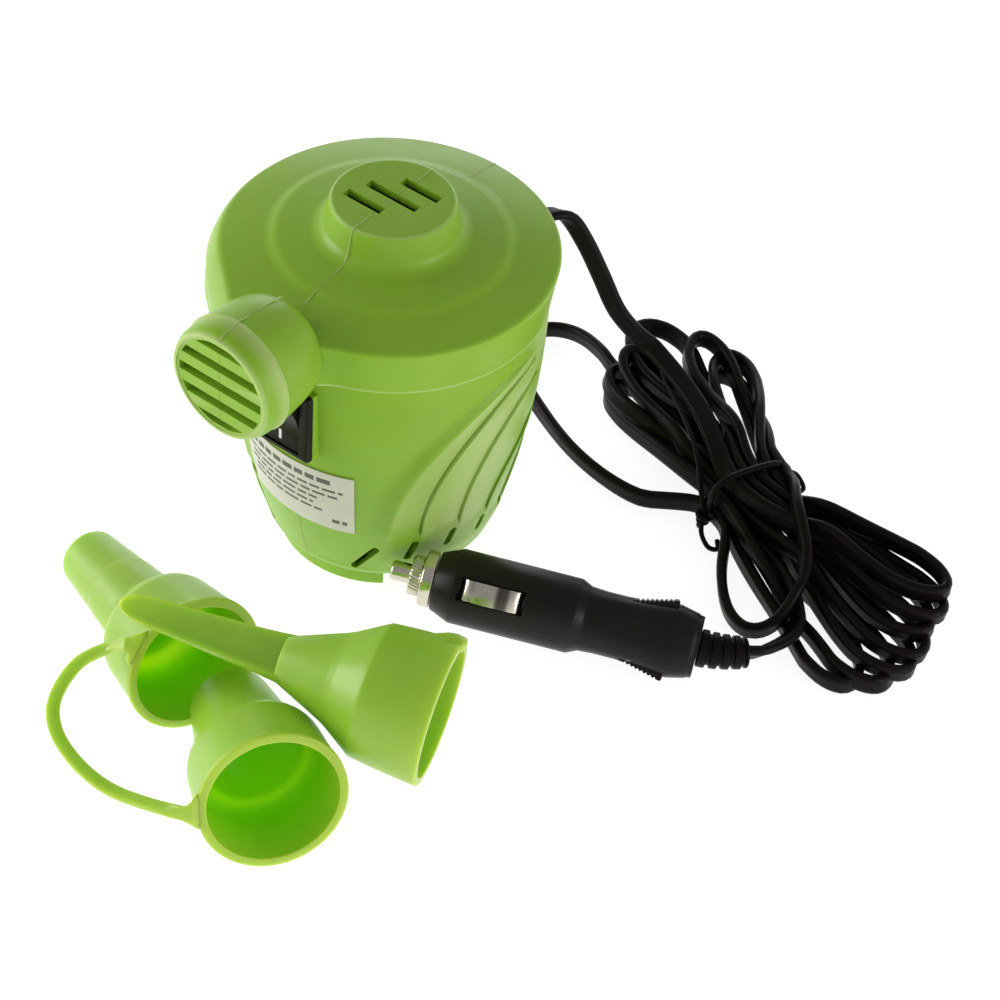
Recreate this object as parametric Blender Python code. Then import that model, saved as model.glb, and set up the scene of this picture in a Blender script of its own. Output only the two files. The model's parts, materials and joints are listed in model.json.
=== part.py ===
"""Electric air mattress pump, 12 V: casing, blower, motor, switch, cord, plug and three adapters.

Z is up and the pump stands on z = 0 with its motor axis on the world Z axis. The nozzle points
along -Y and the casing halves part on the plane x = 0. Every size below is in millimetres.
"""
import math

import bmesh
import bpy
from mathutils import Matrix, Vector

MM = 0.001
GAP = 0.3                       # clearance between pieces that touch in the real object

# casing
WALL = 2.2                      # casing wall
BASE_Z, BELLY_Z, LID_Z = 2.0, 10.0, 86.0
BASE_R, BELLY_R, NECK_R = 26.5, 33.3, 42.6      # body radius at those three heights
LID_LOW_R, LID_R, LID_TOP_Z = 43.4, 45.4, 101.0
RIDGE_R, RIDGE_Z = 31.5, 104.0                  # where the lid steps up towards the intake boss
BOSS_FOOT_R, BOSS_R, BOSS_Z = 19.4, 16.6, 115.5
TANGENT_DEG = -130.5            # where the lid leaves its circle and runs straight to the nozzle
NOZZLE_Z, NOZZLE_FACE = 95.9, 68.8
NOZZLE_NECK_R, NOZZLE_RIDGE_R, GRILLE_R = 16.0, 17.1, 13.7
GRILLE_PITCH, GRILLE_SLOT = 6.3, 3.4
SLOT_WIDTH, SLOT_PITCH = 3.0, 6.7               # intake slots in the boss
FOOT_SPAN_DEG = 41.0            # each curved foot reaches this far to both sides
CORD_EXIT_Z = 66.0

# wings: the fluted areas on both sides, fanning down from under the lid
WING_RAISE = 1.3
WING_EDGE = (-49.0, 23.0, 13.0, 80.0)           # front edge: angle and height at its foot and its top
VENTS = [(-53.0, 21.0, -64.0, 10.0), (-36.3, 24.0, -39.5, 16.0), (-19.1, 25.6, -21.3, 18.8),
         (-2.0, 23.4, -3.3, 18.0), (15.0, 22.0, 14.6, 17.5)]

# motor and blower
MOTOR_R, MOTOR_LOW, MOTOR_TOP = 17.9, 22.0, 78.6
PLATE_Z, PLATE_T, PLATE_R = 80.5, 2.2, 39.8
SHAFT_R = 1.6
IMPELLER_R, IMPELLER_LOW, BLADE_TOP = 35.0, 85.5, 97.0

# switch
SWITCH_Z, SWITCH_PAD_Y = 69.0, -43.3
ROCKER_DEG, ROCKER_PIVOT_Y = 12.0, -43.55

# plug
PLUG_ORIGIN = Vector((38.8, -24.2, 16.4))       # centre of the barrel's front face
PLUG_DIR = Vector((0.900, 0.424, -0.074)).normalized()
CONTACT_ELEVATION = 44.0
BARREL_R, BARREL_END, GRIP_END = 10.5, 40.0, 74.5
RELIEF_END, RELIEF_BEND = 87.9, 2.6

# adapters: mouth centre, the way the tip points (azimuth, elevation), roll about the axis
SOCKET_R, SOCKET_BORE = 19.6, 17.3
LONG_ADAPTER = ((12.2, -92.9, 20.7), 162.0, -11.2, 0.0)
WIDE_ADAPTER = ((60.2, -116.9, 24.75), 145.2, -17.2, 0.0)
PINCH_ADAPTER = ((79.0, -73.5, 34.1), 199.4, 4.6, -22.0)

# cord
CORD_D = 4.4


# ---------------------------------------------------------------- helpers
def clear_scene():
    for ob in list(bpy.data.objects):
        bpy.data.objects.remove(ob, do_unlink=True)


def material(name, colour, roughness, metallic=0.0):
    mat = bpy.data.materials.get(name)
    if mat:
        return mat
    mat = bpy.data.materials.new(name)
    mat.use_nodes = True
    shader = mat.node_tree.nodes["Principled BSDF"]
    shader.inputs["Base Color"].default_value = (*colour, 1.0)
    shader.inputs["Roughness"].default_value = roughness
    shader.inputs["Metallic"].default_value = metallic
    return mat


def green():
    return material("lime_plastic", (0.21, 0.46, 0.03), 0.42)


def soft_green():
    return material("soft_lime_plastic", (0.30, 0.60, 0.03), 0.38)


def black():
    return material("black_plastic", (0.012, 0.012, 0.012), 0.35)


def rubber():
    return material("black_pvc", (0.010, 0.010, 0.010), 0.45)


def nickel():
    return material("nickel", (0.72, 0.68, 0.62), 0.22, 1.0)


def steel():
    return material("steel", (0.55, 0.55, 0.56), 0.32, 1.0)


def brass():
    return material("brass", (0.72, 0.50, 0.20), 0.30, 1.0)


def make(name, verts, faces, mat, frame=None, smooth=True):
    """Object from vertices in millimetres; frame is a 4x4 matrix in millimetres."""
    mesh = bpy.data.meshes.new(name)
    points = [Vector(v) for v in verts]
    if frame is not None:
        points = [frame @ p for p in points]
    mesh.from_pydata([p * MM for p in points], [], faces)
    bm = bmesh.new()
    bm.from_mesh(mesh)
    bmesh.ops.remove_doubles(bm, verts=bm.verts, dist=1e-7)
    bmesh.ops.recalc_face_normals(bm, faces=bm.faces)
    bm.to_mesh(mesh)
    bm.free()
    ob = bpy.data.objects.new(name, mesh)
    bpy.context.scene.collection.objects.link(ob)
    mesh.materials.append(mat)
    if smooth:
        shade(ob)
    return ob


def shade(ob, angle=35.0):
    """Smooth shading with sharp edges where two faces meet at more than the angle."""
    mesh = ob.data
    mesh.polygons.foreach_set("use_smooth", [True] * len(mesh.polygons))
    bm = bmesh.new()
    bm.from_mesh(mesh)
    for edge in bm.edges:
        if len(edge.link_faces) == 2:
            edge.smooth = edge.calc_face_angle(0.0) < math.radians(angle)
    bm.to_mesh(mesh)
    bm.free()


def loft(rings, caps=True):
    """Vertices and faces of a skin through rings that have the same number of points."""
    n = len(rings[0])
    verts = [v for ring in rings for v in ring]
    faces = [(i * n + j, i * n + (j + 1) % n, (i + 1) * n + (j + 1) % n, (i + 1) * n + j)
             for i in range(len(rings) - 1) for j in range(n)]
    if caps:
        faces.append(tuple(range(n))[::-1])
        faces.append(tuple((len(rings) - 1) * n + j for j in range(n)))
    return verts, faces


def circle(radius, height, n):
    return [(radius * math.cos(2 * math.pi * k / n), radius * math.sin(2 * math.pi * k / n), height)
            for k in range(n)]


def turned(profile, n=48):
    """Solid of revolution about Z from (radius, z) pairs, closed by flat ends."""
    return loft([circle(max(r, 0.05), z, n) for r, z in profile])


def turned_ring(profile, n=48):
    """Ring of revolution about Z from a closed (radius, z) outline."""
    m = len(profile)
    verts = [v for r, z in profile for v in circle(r, z, n)]
    faces = [(i * n + j, i * n + (j + 1) % n, ((i + 1) % m) * n + (j + 1) % n, ((i + 1) % m) * n + j)
             for i in range(m) for j in range(n)]
    return verts, faces


def block(x0, x1, y0, y1, z0, z1):
    ring = [(x0, y0), (x1, y0), (x1, y1), (x0, y1)]
    return loft([[(x, y, z0) for x, y in ring], [(x, y, z1) for x, y in ring]])


def prism(outline, z0, z1):
    return loft([[(x, y, z0) for x, y in outline], [(x, y, z1) for x, y in outline]])


def rounded(half_x, half_y, radius, n=5):
    """Rectangle outline with round corners, centred on the origin."""
    corners = [(half_x - radius, half_y - radius, 0), (radius - half_x, half_y - radius, 90),
               (radius - half_x, radius - half_y, 180), (half_x - radius, radius - half_y, 270)]
    return [(cx + radius * math.cos(math.radians(a + 90 * k / (n - 1))),
             cy + radius * math.sin(math.radians(a + 90 * k / (n - 1))))
            for cx, cy, a in corners for k in range(n)]


def along(origin, direction, up=(0, 0, 1)):
    """Frame whose local Z runs along the direction; local Y lies near the up vector."""
    z = Vector(direction).normalized()
    x = Vector(up).cross(z)
    x = x.normalized() if x.length > 1e-6 else Vector((1, 0, 0))
    y = z.cross(x)
    frame = Matrix((x, y, z)).transposed().to_4x4()
    frame.translation = Vector(origin)
    return frame


def combine(ob, tools, operation="DIFFERENCE", solver="EXACT"):
    """Apply boolean tools to the object and remove them. Long thin cuts need MANIFOLD."""
    for tool in tools:
        mod = ob.modifiers.new("bool", "BOOLEAN")
        mod.operation, mod.solver, mod.object = operation, solver, tool
        depsgraph = bpy.context.evaluated_depsgraph_get()
        mesh = bpy.data.meshes.new_from_object(ob.evaluated_get(depsgraph))
        ob.modifiers.remove(mod)
        old, ob.data = ob.data, mesh
        bpy.data.meshes.remove(old)
        bpy.data.objects.remove(tool, do_unlink=True)
    return ob


def tool(verts_faces, frame=None):
    return make("tool", *verts_faces, green(), frame, smooth=False)


def finish(ob, mat):
    """Clean a boolean result: weld, drop loose bits and set one material and shading."""
    bm = bmesh.new()
    bm.from_mesh(ob.data)
    bmesh.ops.remove_doubles(bm, verts=bm.verts, dist=1e-6)
    bmesh.ops.recalc_face_normals(bm, faces=bm.faces)
    bm.to_mesh(ob.data)
    bm.free()
    ob.data.materials.clear()
    ob.data.materials.append(mat)
    shade(ob)
    return ob


def polar(radius, degrees, z=0.0):
    return Vector((radius * math.cos(math.radians(degrees)),
                   radius * math.sin(math.radians(degrees)), z))


# ---------------------------------------------------------------- casing shape
def body_radius(z):
    """Radius of the round body at a height: a rounded bowl that opens into a near cylinder."""
    if z < BELLY_Z:
        t = max(0.0, (z - BASE_Z) / (BELLY_Z - BASE_Z))
        return BASE_R + (BELLY_R - BASE_R) * math.sin(t * math.pi / 2)
    t = max(0.0, (LID_Z - z) / (LID_Z - BELLY_Z))
    return BELLY_R + (NECK_R - BELLY_R) * (1 - t ** 2.2)


def wing_edge(z):
    """Angle of the wing's front edge: upright at the bottom, sweeping round near its top."""
    low_deg, low_z, top_deg, top_z = WING_EDGE
    t = min(1.0, max(0.0, (z - low_z) / (top_z - low_z)))
    return low_deg + (top_deg - low_deg) * (1 - math.sqrt(1 - t * t))


def wing_height(degrees, z):
    """How far the fluted wing stands out of the round body."""
    side = degrees if abs(degrees) <= 90 else math.copysign(180, degrees) - degrees
    rise = min(1.0, max(0.0, (side - wing_edge(z)) / 9.0)) * min(1.0, max(0.0, (64.0 - side) / 9.0))
    fade = min(1.0, max(0.0, (z - 12.0) / 10.0)) * min(1.0, max(0.0, (84.0 - z) / 4.0))
    return WING_RAISE * rise * fade


def lid_radius(degrees, radius, scroll=0.0):
    """Lid outline: a circle that swells into the scroll and runs straight into the nozzle's left."""
    turn = (degrees - TANGENT_DEG + 180) % 360 - 180
    if -70 < turn < 42:
        radius += scroll * min(1.0, (turn + 70) / 45.0) * min(1.0, (42 - turn) / 20.0)
    if 0 < turn < 42:
        return radius / math.cos(math.radians(turn))
    right = degrees + 66
    if -12 < right < 0:
        return radius + 3.0 * (right / 12.0) ** 2
    return radius


def wrap(z, radius_at, n=56):
    """Ring of points round the axis; radius_at gives the radius for an angle in degrees."""
    ring = []
    for k in range(n):
        deg = 360.0 * k / n - 180.0
        ring.append(tuple(polar(radius_at(deg), deg, z)))
    return ring


def casing_outer():
    heights = [2, 4, 7, 10, 15, 21, 28, 37, 47, 57, 67, 77, 84, 90]
    shell = tool(loft([wrap(z, lambda a, z=z: body_radius(z) + wing_height(a, z)) for z in heights]))
    lid_rings = [wrap(LID_Z, lambda a: lid_radius(a, LID_LOW_R, 6.0)),
                 wrap(94.0, lambda a: lid_radius(a, 44.5, 4.6)),
                 wrap(LID_TOP_Z - 0.7, lambda a: lid_radius(a, LID_R, 0.9)),
                 wrap(LID_TOP_Z, lambda a: lid_radius(a, LID_R - 0.6)),
                 wrap(RIDGE_Z - 0.9, lambda a: RIDGE_R + 1.6), wrap(RIDGE_Z, lambda a: RIDGE_R - 1.0),
                 wrap(105.6, lambda a: BOSS_FOOT_R + 1.6), wrap(106.4, lambda a: BOSS_FOOT_R),
                 wrap(108.5, lambda a: BOSS_R + 0.9), wrap(BOSS_Z - 0.8, lambda a: BOSS_R),
                 wrap(BOSS_Z, lambda a: BOSS_R - 0.8)]
    nozzle = [(0.5, 40.0), (6.0, 40.6), (10.5, 42.5), (13.6, 45.6), (15.4, 49.0),
              (NOZZLE_NECK_R, 52.0), (16.4, 56.0), (NOZZLE_RIDGE_R, 61.4), (16.7, 62.2),
              (16.4, 66.6), (15.7, 68.3), (15.0, NOZZLE_FACE), (14.5, NOZZLE_FACE)]
    parts = [tool(loft(lid_rings)), tool(turned(nozzle, 32), nozzle_frame()),
             tool(loft([[(x, y, z) for x, y in rounded(11.4, 2.6, 1.0)] for z in (56.0, 82.0)]),
                  Matrix.Translation((0, SWITCH_PAD_Y + 2.6, 0)))]
    for middle in (-90.0, 90.0):
        arc = [middle - FOOT_SPAN_DEG + FOOT_SPAN_DEG * k / 8 for k in range(17)]
        outline = [polar(29.3, a)[:2] for a in arc] + [polar(24.6, a)[:2] for a in reversed(arc)]
        parts.append(tool(prism(outline, 0.0, 4.0)))
    return combine(shell, parts, "UNION", "MANIFOLD")


def nozzle_frame():
    """Local Z runs out of the nozzle, local Y points up."""
    return along((0, 0, NOZZLE_Z), (0, -1, 0))


def casing_hollow():
    inner = [(24.0, 4.4)] + [(body_radius(z) - WALL, z) for z in (8, 14, 24, 39, 56, 77.2)]
    inner += [(37.0, 77.4), (37.0, 80.1), (40.25, 80.2), (40.6, 84.0), (41.0, 88.0), (41.4, 98.6),
              (30.0, 101.4), (18.2, 103.4), (14.3, 104.6), (14.3, 113.2)]
    bore = [(0.5, 46.0), (8.0, 47.0), (11.5, 49.5), (13.3, 52.0), (GRILLE_R, 56.0), (13.9, 62.0),
            (GRILLE_R, 65.6)]
    recess = [(14.4, 67.4), (14.4, 75.0)]
    return [tool(turned(inner, 36)), tool(turned(bore, 28), nozzle_frame()),
            tool(turned(recess, 28), nozzle_frame()), tool(block(-9, 9, -54, -34, 85.6, 98.5))]


def grille_slots():
    """Five level slots, cut off by the round of the nozzle."""
    cutters = []
    for k in range(-2, 3):
        low, high = k * GRILLE_PITCH - GRILLE_SLOT / 2, k * GRILLE_PITCH + GRILLE_SLOT / 2
        low, high = max(low, 0.3 - GRILLE_R), min(high, GRILLE_R - 0.3)
        levels = [low + (high - low) * i / 3 for i in range(4)]
        half = [math.sqrt(GRILLE_R ** 2 - y * y) - 0.15 for y in levels]
        outline = list(zip(half, levels)) + [(-x, y) for x, y in reversed(list(zip(half, levels)))]
        cutters.append(tool(prism(outline, 64.0, 69.0), nozzle_frame()))
    return cutters


def intake_slots():
    cutters = []
    for row, (x0, x1) in enumerate([(-11.3, 1.2), (-9.2, 7.6), (-2.9, 9.6)]):
        y = 0.7 + (row - 1) * SLOT_PITCH
        cutters.append(tool(block(x0, x1, y - SLOT_WIDTH / 2, y + SLOT_WIDTH / 2, 110.0, 118.0)))
    return cutters


def vent_slots():
    """Narrow cooling slots at the foot of the wings, on both sides."""
    cutters = []
    for mirror in (1, -1):
        for top_deg, top_z, low_deg, low_z in VENTS:
            top = polar(body_radius(top_z), top_deg, top_z)
            low = polar(body_radius(low_z), low_deg, low_z)
            top.x, low.x = mirror * top.x, mirror * low.x
            middle = (top + low) / 2
            frame = along(middle, top - low, (middle.x, middle.y, 0))
            reach = (top - low).length / 2
            cutters.append(tool(prism(rounded(1.1, 5.0, 0.9, 2), -reach, reach), frame))
    return cutters


SCREW_SPOTS = [(29.0, 26.0), (-29.0, 26.0), (30.5, 70.5), (-30.0, 49.0)]      # (y, z) of each screw


def screw_bosses():
    """Round pillars right across the casing, cut off inside its wall."""
    heights = [10, 20, 30, 42, 56, 70, 84]
    bosses = []
    for y, z in SCREW_SPOTS:
        boss = tool(turned([(3.6, -60), (3.6, 60)], 10), along((0, y, z), (1, 0, 0)))
        inside = tool(turned([(body_radius(h) - WALL / 2, h) for h in heights], 44))
        bosses.append(combine(boss, [inside], "INTERSECT", "MANIFOLD"))
    return bosses


def casing():
    shell = combine(casing_outer(), casing_hollow(), solver="MANIFOLD")
    across = [along((0, y, z), (1, 0, 0)) for y, z in SCREW_SPOTS]
    shell = combine(shell, screw_bosses(), "UNION", "MANIFOLD")
    holes = [(3.0, -60), (3.0, -9.0), (1.55, -8.0), (1.55, 9.0)]
    cutters = [tool(turned(holes, 12), frame) for frame in across]
    cutters += grille_slots() + intake_slots() + vent_slots()
    cutters.append(tool(block(-8.4, 8.4, -50, -36, SWITCH_Z - 10.4, SWITCH_Z + 10.4)))
    cutters.append(tool(turned([(4.3, 34), (4.3, 50)], 24), along((0, 0, CORD_EXIT_Z), (0, 1, 0))))
    shell = combine(shell, cutters, solver="MANIFOLD")
    for name, side in (("case_left", 1), ("case_right", -1)):
        half = shell.copy()
        half.data = shell.data.copy()
        half.name = name
        bpy.context.scene.collection.objects.link(half)
        x0, x1 = sorted((-side * GAP / 2, side * 80.0))
        finish(combine(half, [tool(block(x0, x1, -90, 90, -10, 130))], solver="MANIFOLD"), green())
    bpy.data.objects.remove(shell, do_unlink=True)


def case_screws():
    head = [(2.8, -12.6), (2.8, -10.9), (2.4, -10.4), (1.4, -9.3), (1.4, 7.0), (0.5, 8.4)]
    for k, (y, z) in enumerate(SCREW_SPOTS, 1):
        make(f"case_screw_{k}", *turned(head, 12), steel(), along((0, y, z), (1, 0, 0)))


def foot_pad():
    make("foot_pad", *turned([(12.0, 0.0), (12.4, 0.5), (12.4, 1.7)], 28), rubber())


def label():
    """Blank sticker wrapped round the body under the switch."""
    z_levels = [27.5, 35.5, 43.5, 51.5]
    degrees = [-117.5 + 55.0 * k / 14 for k in range(15)]
    front, back = 0.48, 0.2
    rings = []
    for z in z_levels:
        outer = [tuple(polar(body_radius(z) + front, a, z)) for a in degrees]
        inner = [tuple(polar(body_radius(z) + back, a, z)) for a in reversed(degrees)]
        rings.append(outer + inner)
    verts, faces = loft(rings, caps=False)
    n, last = len(rings[0]), (len(rings) - 1) * len(rings[0])
    for k in range(14):
        faces.append((k, k + 1, n - 2 - k, n - 1 - k))
        faces.append((last + k, last + n - 1 - k, last + n - 2 - k, last + k + 1))
    make("label", verts, faces, material("white_paper", (0.80, 0.78, 0.70), 0.5))


# ---------------------------------------------------------------- blower and motor
def fan_plate():
    plate = turned_ring([(7.2, PLATE_Z), (PLATE_R, PLATE_Z), (PLATE_R, PLATE_Z + PLATE_T),
                         (7.2, PLATE_Z + PLATE_T)], 36)
    ob = make("fan_plate", *plate, black())
    holes = [tool(turned([(1.8, PLATE_Z - 2), (1.8, PLATE_Z + 5)], 12),
                  Matrix.Translation((side * 12.5, 0, 0))) for side in (-1, 1)]
    finish(combine(ob, holes, solver="MANIFOLD"), black())
    for k, side in enumerate((-1, 1), 1):
        head = [(1.4, 79.2), (1.4, 82.9), (2.7, 83.0), (2.7, 84.4)]
        make(f"motor_screw_{k}", *turned(head, 12), steel(), Matrix.Translation((side * 12.5, 0, 0)))


def motor():
    can = [(5.0, MOTOR_TOP), (5.0, MOTOR_TOP - 1.3), (16.6, MOTOR_TOP - 1.3), (16.6, MOTOR_LOW),
           (MOTOR_R, MOTOR_LOW), (MOTOR_R, MOTOR_TOP - 1.0), (MOTOR_R - 1.0, MOTOR_TOP)]
    make("motor_can", *turned_ring(can, 30), steel())
    cap = [(3.6, 22.6), (16.3, 22.6), (16.3, 26.0), (3.6, 26.0)]
    make("motor_end_cap", *turned_ring(cap, 24), black())
    for name, low, high, outer in (("bush_bottom", 21.0, 26.2, 3.3), ("bush_top", 76.0, 80.0, 4.7)):
        bore = SHAFT_R + 0.08
        ring = [(bore, low), (outer, low), (outer, high), (bore, high)]
        make(name, *turned_ring(ring, 20), brass())
    for name, middle in (("magnet_left", 180.0), ("magnet_right", 0.0)):
        arc = [middle - 62 + 124.0 * k / 12 for k in range(13)]
        outline = [polar(16.3, a)[:2] for a in arc] + [polar(13.6, a)[:2] for a in reversed(arc)]
        make(name, *prism(outline, 36.0, 70.0), material("ferrite", (0.05, 0.05, 0.055), 0.7))
    for k, side in enumerate((-1, 1), 1):
        tab = block(-1.6, 1.6, -0.3, 0.3, 15.0, 22.3)
        make(f"motor_terminal_{k}", *tab, brass(), Matrix.Translation((0, side * 11.0, 0)), False)
    support = [(MOTOR_R + GAP, 30.0), (34.8, 30.0), (35.2, 33.0), (MOTOR_R + GAP, 33.0)]
    ob = make("motor_support", *turned_ring(support, 32), black())
    gaps = [tool(block(19.4, 30.0, y - 4.2, y + 4.2, 25, 38)) for y in (-16.4, 16.4)]
    finish(combine(ob, gaps, solver="MANIFOLD"), black())


def rotor():
    """Everything that spins: shaft, armature, commutator and impeller, clear of each other."""
    make("motor_shaft", *turned([(SHAFT_R, 19.0), (SHAFT_R, 98.3), (1.2, 98.8)], 20), steel())
    core = [(SHAFT_R + 0.1, 40.0), (12.9, 40.0), (12.9, 66.0), (SHAFT_R + 0.1, 66.0)]
    make("armature", *turned_ring(core, 26), material("laminations", (0.30, 0.29, 0.28), 0.45, 1.0))
    for name, low, high in (("winding_low", 34.5, 39.7), ("winding_high", 66.3, 71.5)):
        coil = [(3.4, low), (9.6, low), (11.4, (low + high) / 2), (9.6, high), (3.4, high)]
        make(name, *turned_ring(coil, 20), material("copper_wire", (0.60, 0.23, 0.10), 0.3, 1.0))
    make("commutator", *turned_ring([(SHAFT_R + 0.1, 27.0), (4.4, 27.0), (4.4, 34.0),
                                     (SHAFT_R + 0.1, 34.0)], 24), brass())
    impeller()


def impeller():
    """Backplate, hub and nine curved blades in one moulding."""
    hub = [(SHAFT_R + 0.12, IMPELLER_LOW), (IMPELLER_R, IMPELLER_LOW), (IMPELLER_R, IMPELLER_LOW + 1.4),
           (6.4, IMPELLER_LOW + 1.8), (5.0, BLADE_TOP), (SHAFT_R + 0.12, BLADE_TOP)]
    wheel = make("impeller", *turned_ring(hub, 36), black())
    blades = []
    for k in range(9):
        centre = [(r, 40.0 * k + 38.0 * ((r - 11.0) / 23.5) ** 0.9) for r in (11, 17, 23, 29, 34.5)]
        left = [polar(r, a + math.degrees(0.55 / r))[:2] for r, a in centre]
        right = [polar(r, a - math.degrees(0.55 / r))[:2] for r, a in reversed(centre)]
        blades.append(tool(prism(left + right, IMPELLER_LOW + 0.6, BLADE_TOP)))
    finish(combine(wheel, blades, "UNION"), black())


# ---------------------------------------------------------------- switch
def switch():
    front = -(SWITCH_PAD_Y - GAP / 2)
    frame = along((0, 0, SWITCH_Z), (0, -1, 0))
    body = make("switch_body", *loft([[(x, y, z) for x, y in rounded(hx, hy, r)] for hx, hy, r, z in
                                      ((8.0, 10.0, 0.8, 29.0), (8.0, 10.0, 0.8, front),
                                       (10.0, 11.5, 1.0, front), (10.0, 11.5, 1.0, front + 1.4),
                                       (9.4, 10.9, 1.0, front + 2.0))]), black(), frame)
    well = [tool(prism(rounded(6.9, 9.8, 0.6), 36.2, 50.0), frame)]
    finish(combine(body, well), black())
    outline = [(-9.0, 3.3), (0.0, 1.7), (9.0, 3.3), (8.9, 0.4), (6.6, -2.2), (0.0, -5.0),
               (-6.6, -2.2), (-8.9, 0.4)]
    turn = math.radians(ROCKER_DEG)
    tilted = [(y * math.cos(turn) - z * math.sin(turn), y * math.sin(turn) + z * math.cos(turn))
              for y, z in outline]
    pivot = -ROCKER_PIVOT_Y
    verts, faces = loft([[(x, y, pivot + z) for y, z in tilted] for x in (-6.5, 6.5)])
    make("switch_rocker", verts, faces, black(), frame)
    for k, x in enumerate((-3.5, 3.5), 1):
        tab = block(x - 0.4, x + 0.4, -2.4, 2.4, 22.5, 28.7)
        make(f"switch_terminal_{k}", *tab, brass(), frame, False)


def smooth_points(route, spacing):
    """Even points on a Catmull-Rom curve through the route's points."""
    pts = [Vector(p) for p in route]
    pts = [2 * pts[0] - pts[1]] + pts + [2 * pts[-1] - pts[-2]]
    fine = []
    for a, b, c, d in zip(pts, pts[1:], pts[2:], pts[3:]):
        for k in range(24):
            t = k / 24.0
            fine.append(0.5 * (2 * b + (c - a) * t + (2 * a - 5 * b + 4 * c - d) * t * t
                               + (3 * b - a - 3 * c + d) * t ** 3))
    fine.append(pts[-2])
    out, walked = [fine[0]], 0.0
    total = sum((q - p).length for p, q in zip(fine, fine[1:]))
    count = max(2, round(total / spacing))
    for p, q in zip(fine, fine[1:]):
        step = (q - p).length
        while len(out) < count and walked + step >= len(out) * total / count - 1e-9:
            out.append(p.lerp(q, (len(out) * total / count - walked) / step))
        walked += step
    out.append(fine[-1])
    return out[:count] + [fine[-1]] if len(out) > count + 1 else out


def tube(name, route, diameter, mat, spacing=None, resolution=2):
    curve = bpy.data.curves.new(name, "CURVE")
    curve.dimensions = "3D"
    curve.bevel_depth = diameter / 2 * MM
    curve.bevel_resolution = resolution
    curve.use_fill_caps = True
    points = smooth_points(route, spacing or 2.5 * diameter)
    spline = curve.splines.new("POLY")
    spline.points.add(len(points) - 1)
    for point, p in zip(spline.points, points):
        point.co = (*(p * MM), 1.0)
    ob = bpy.data.objects.new(name, curve)
    bpy.context.scene.collection.objects.link(ob)
    curve.materials.append(mat)
    return ob


def wires():
    red = material("red_wire", (0.55, 0.02, 0.02), 0.4)
    tube("wire_supply", [(-1.7, 35.7, 66), (-1.8, 34, 66), (-5, 32, 64.8), (-12, 29, 62), (-24, 20, 58), (-30.5, 0, 58),
                         (-26, -15, 62), (-14, -20, 67), (-3.5, -18.8, 69), (-3.5, -21.4, 69)], 1.8, red, 8.0)
    tube("wire_motor", [(3.5, -21.4, 69), (3.5, -18.8, 69), (6.5, -18.6, 67.4), (12, -19.5, 64), (21.5, -16, 50), (23.5, -16.2, 36),
                        (24.5, -16, 26), (14, -14.2, 17), (3, -12.6, 17)], 1.8, red, 8.0)
    tube("wire_return", [(1.7, 35.7, 66), (1.8, 34, 66), (4.5, 31, 64), (12, 26, 56), (21.5, 17.5, 46), (23.5, 16.2, 36),
                         (24.5, 16, 26), (14, 14.2, 17), (3, 12.6, 17)], 1.8, rubber(), 8.0)


# ---------------------------------------------------------------- cord
LEAD_ROUTE = [(0, 66.35, 66), (0.4, 73, 66), (3.5, 79, 63), (9, 81, 55.5), (15, 82.4, 45),
              (21, 83.5, 34.5), (27.5, 86, 27.0), (34.5, 89.0, 22.4)]
LOOP_ROUTE = [(10.6, 92.0, 9.0), (6, 95.2, 7), (-1, 97.6, 4.2), (-10, 94.5, 2.4), (-14.5, 87, 2.4),
              (-12, 77, 2.4), (-2, 69, 2.4), (9.4, 63.2, 2.4), (27.9, 54.2, 2.4), (47.4, 50.2, 2.6),
              (62, 50.2, 4), (73.5, 52.2, 7.5)]
CURL_ROUTE = [(80.3, 52.2, 8), (86.5, 47.6, 5), (94, 38.6, 2.6), (101.3, 29.1, 2.4),
              (109.6, 24.2, 2.4), (115.6, 28.2, 3), (119.5, 35.0, 5.5)]
TAIL_ROUTE = [(120.6, 21.0, 9.3), (121.9, 26.0, 9.0), (122.6, 31.0, 9.0)]
HANK_OUTLINE = [(18.5, 82.5), (14.2, 88), (13.2, 97), (16.5, 105), (26, 110.5), (36, 112.5),
                (44.5, 110), (56, 100.5), (71, 87.0), (87.3, 76.6), (104, 74.6), (124, 74.0),
                (141, 72.0), (149.5, 67), (153.5, 58), (154.8, 45), (154.2, 33), (149.5, 25.5),
                (141, 24.2), (131, 28.5), (118, 38.5), (98, 48.8), (78.6, 57.6), (60, 61.8), (40, 69.5)]
HANK_LOW, HANK_HIGH = 1.7, 19.5


def plug_point(s, c=0.0, t=0.0):
    """Point in the plug's own frame: s along it from the barrel front, c towards the contact."""
    contact, third = plug_axes()
    return PLUG_ORIGIN + PLUG_DIR * s + contact * c + third * t


def plug_axes():
    level = Vector((PLUG_DIR.y, -PLUG_DIR.x, 0)).normalized()
    lift = math.radians(CONTACT_ELEVATION)
    contact = level * math.cos(lift) + level.cross(PLUG_DIR) * math.sin(lift)
    return contact, PLUG_DIR.cross(contact)


def cord():
    grommet = [(3.9, 36.5), (6.4, 36.8), (6.4, 38.8), (4.0, 39.2), (4.0, 43.6), (6.2, 43.9),
               (6.2, 45.4), (5.0, 46.2), (3.4, 65.6), (3.2, 66.0)]
    make("cord_grommet", *turned(grommet, 18), rubber(), along((0, 0, CORD_EXIT_Z), (0, 1, 0)))
    tube("cord_lead", LEAD_ROUTE, CORD_D, rubber(), 8.0, 3)
    tube("cord_loop", LOOP_ROUTE, CORD_D, rubber(), 9.5, 3)
    tube("cord_curl", CURL_ROUTE, CORD_D, rubber(), 8.0, 3)
    tail = [relief_point(RELIEF_END + 0.8), relief_point(RELIEF_END + 3.2)] + TAIL_ROUTE
    tube("cord_tail", tail, CORD_D, rubber(), 6.0, 3)
    hank()
    cable_tie()


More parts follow.
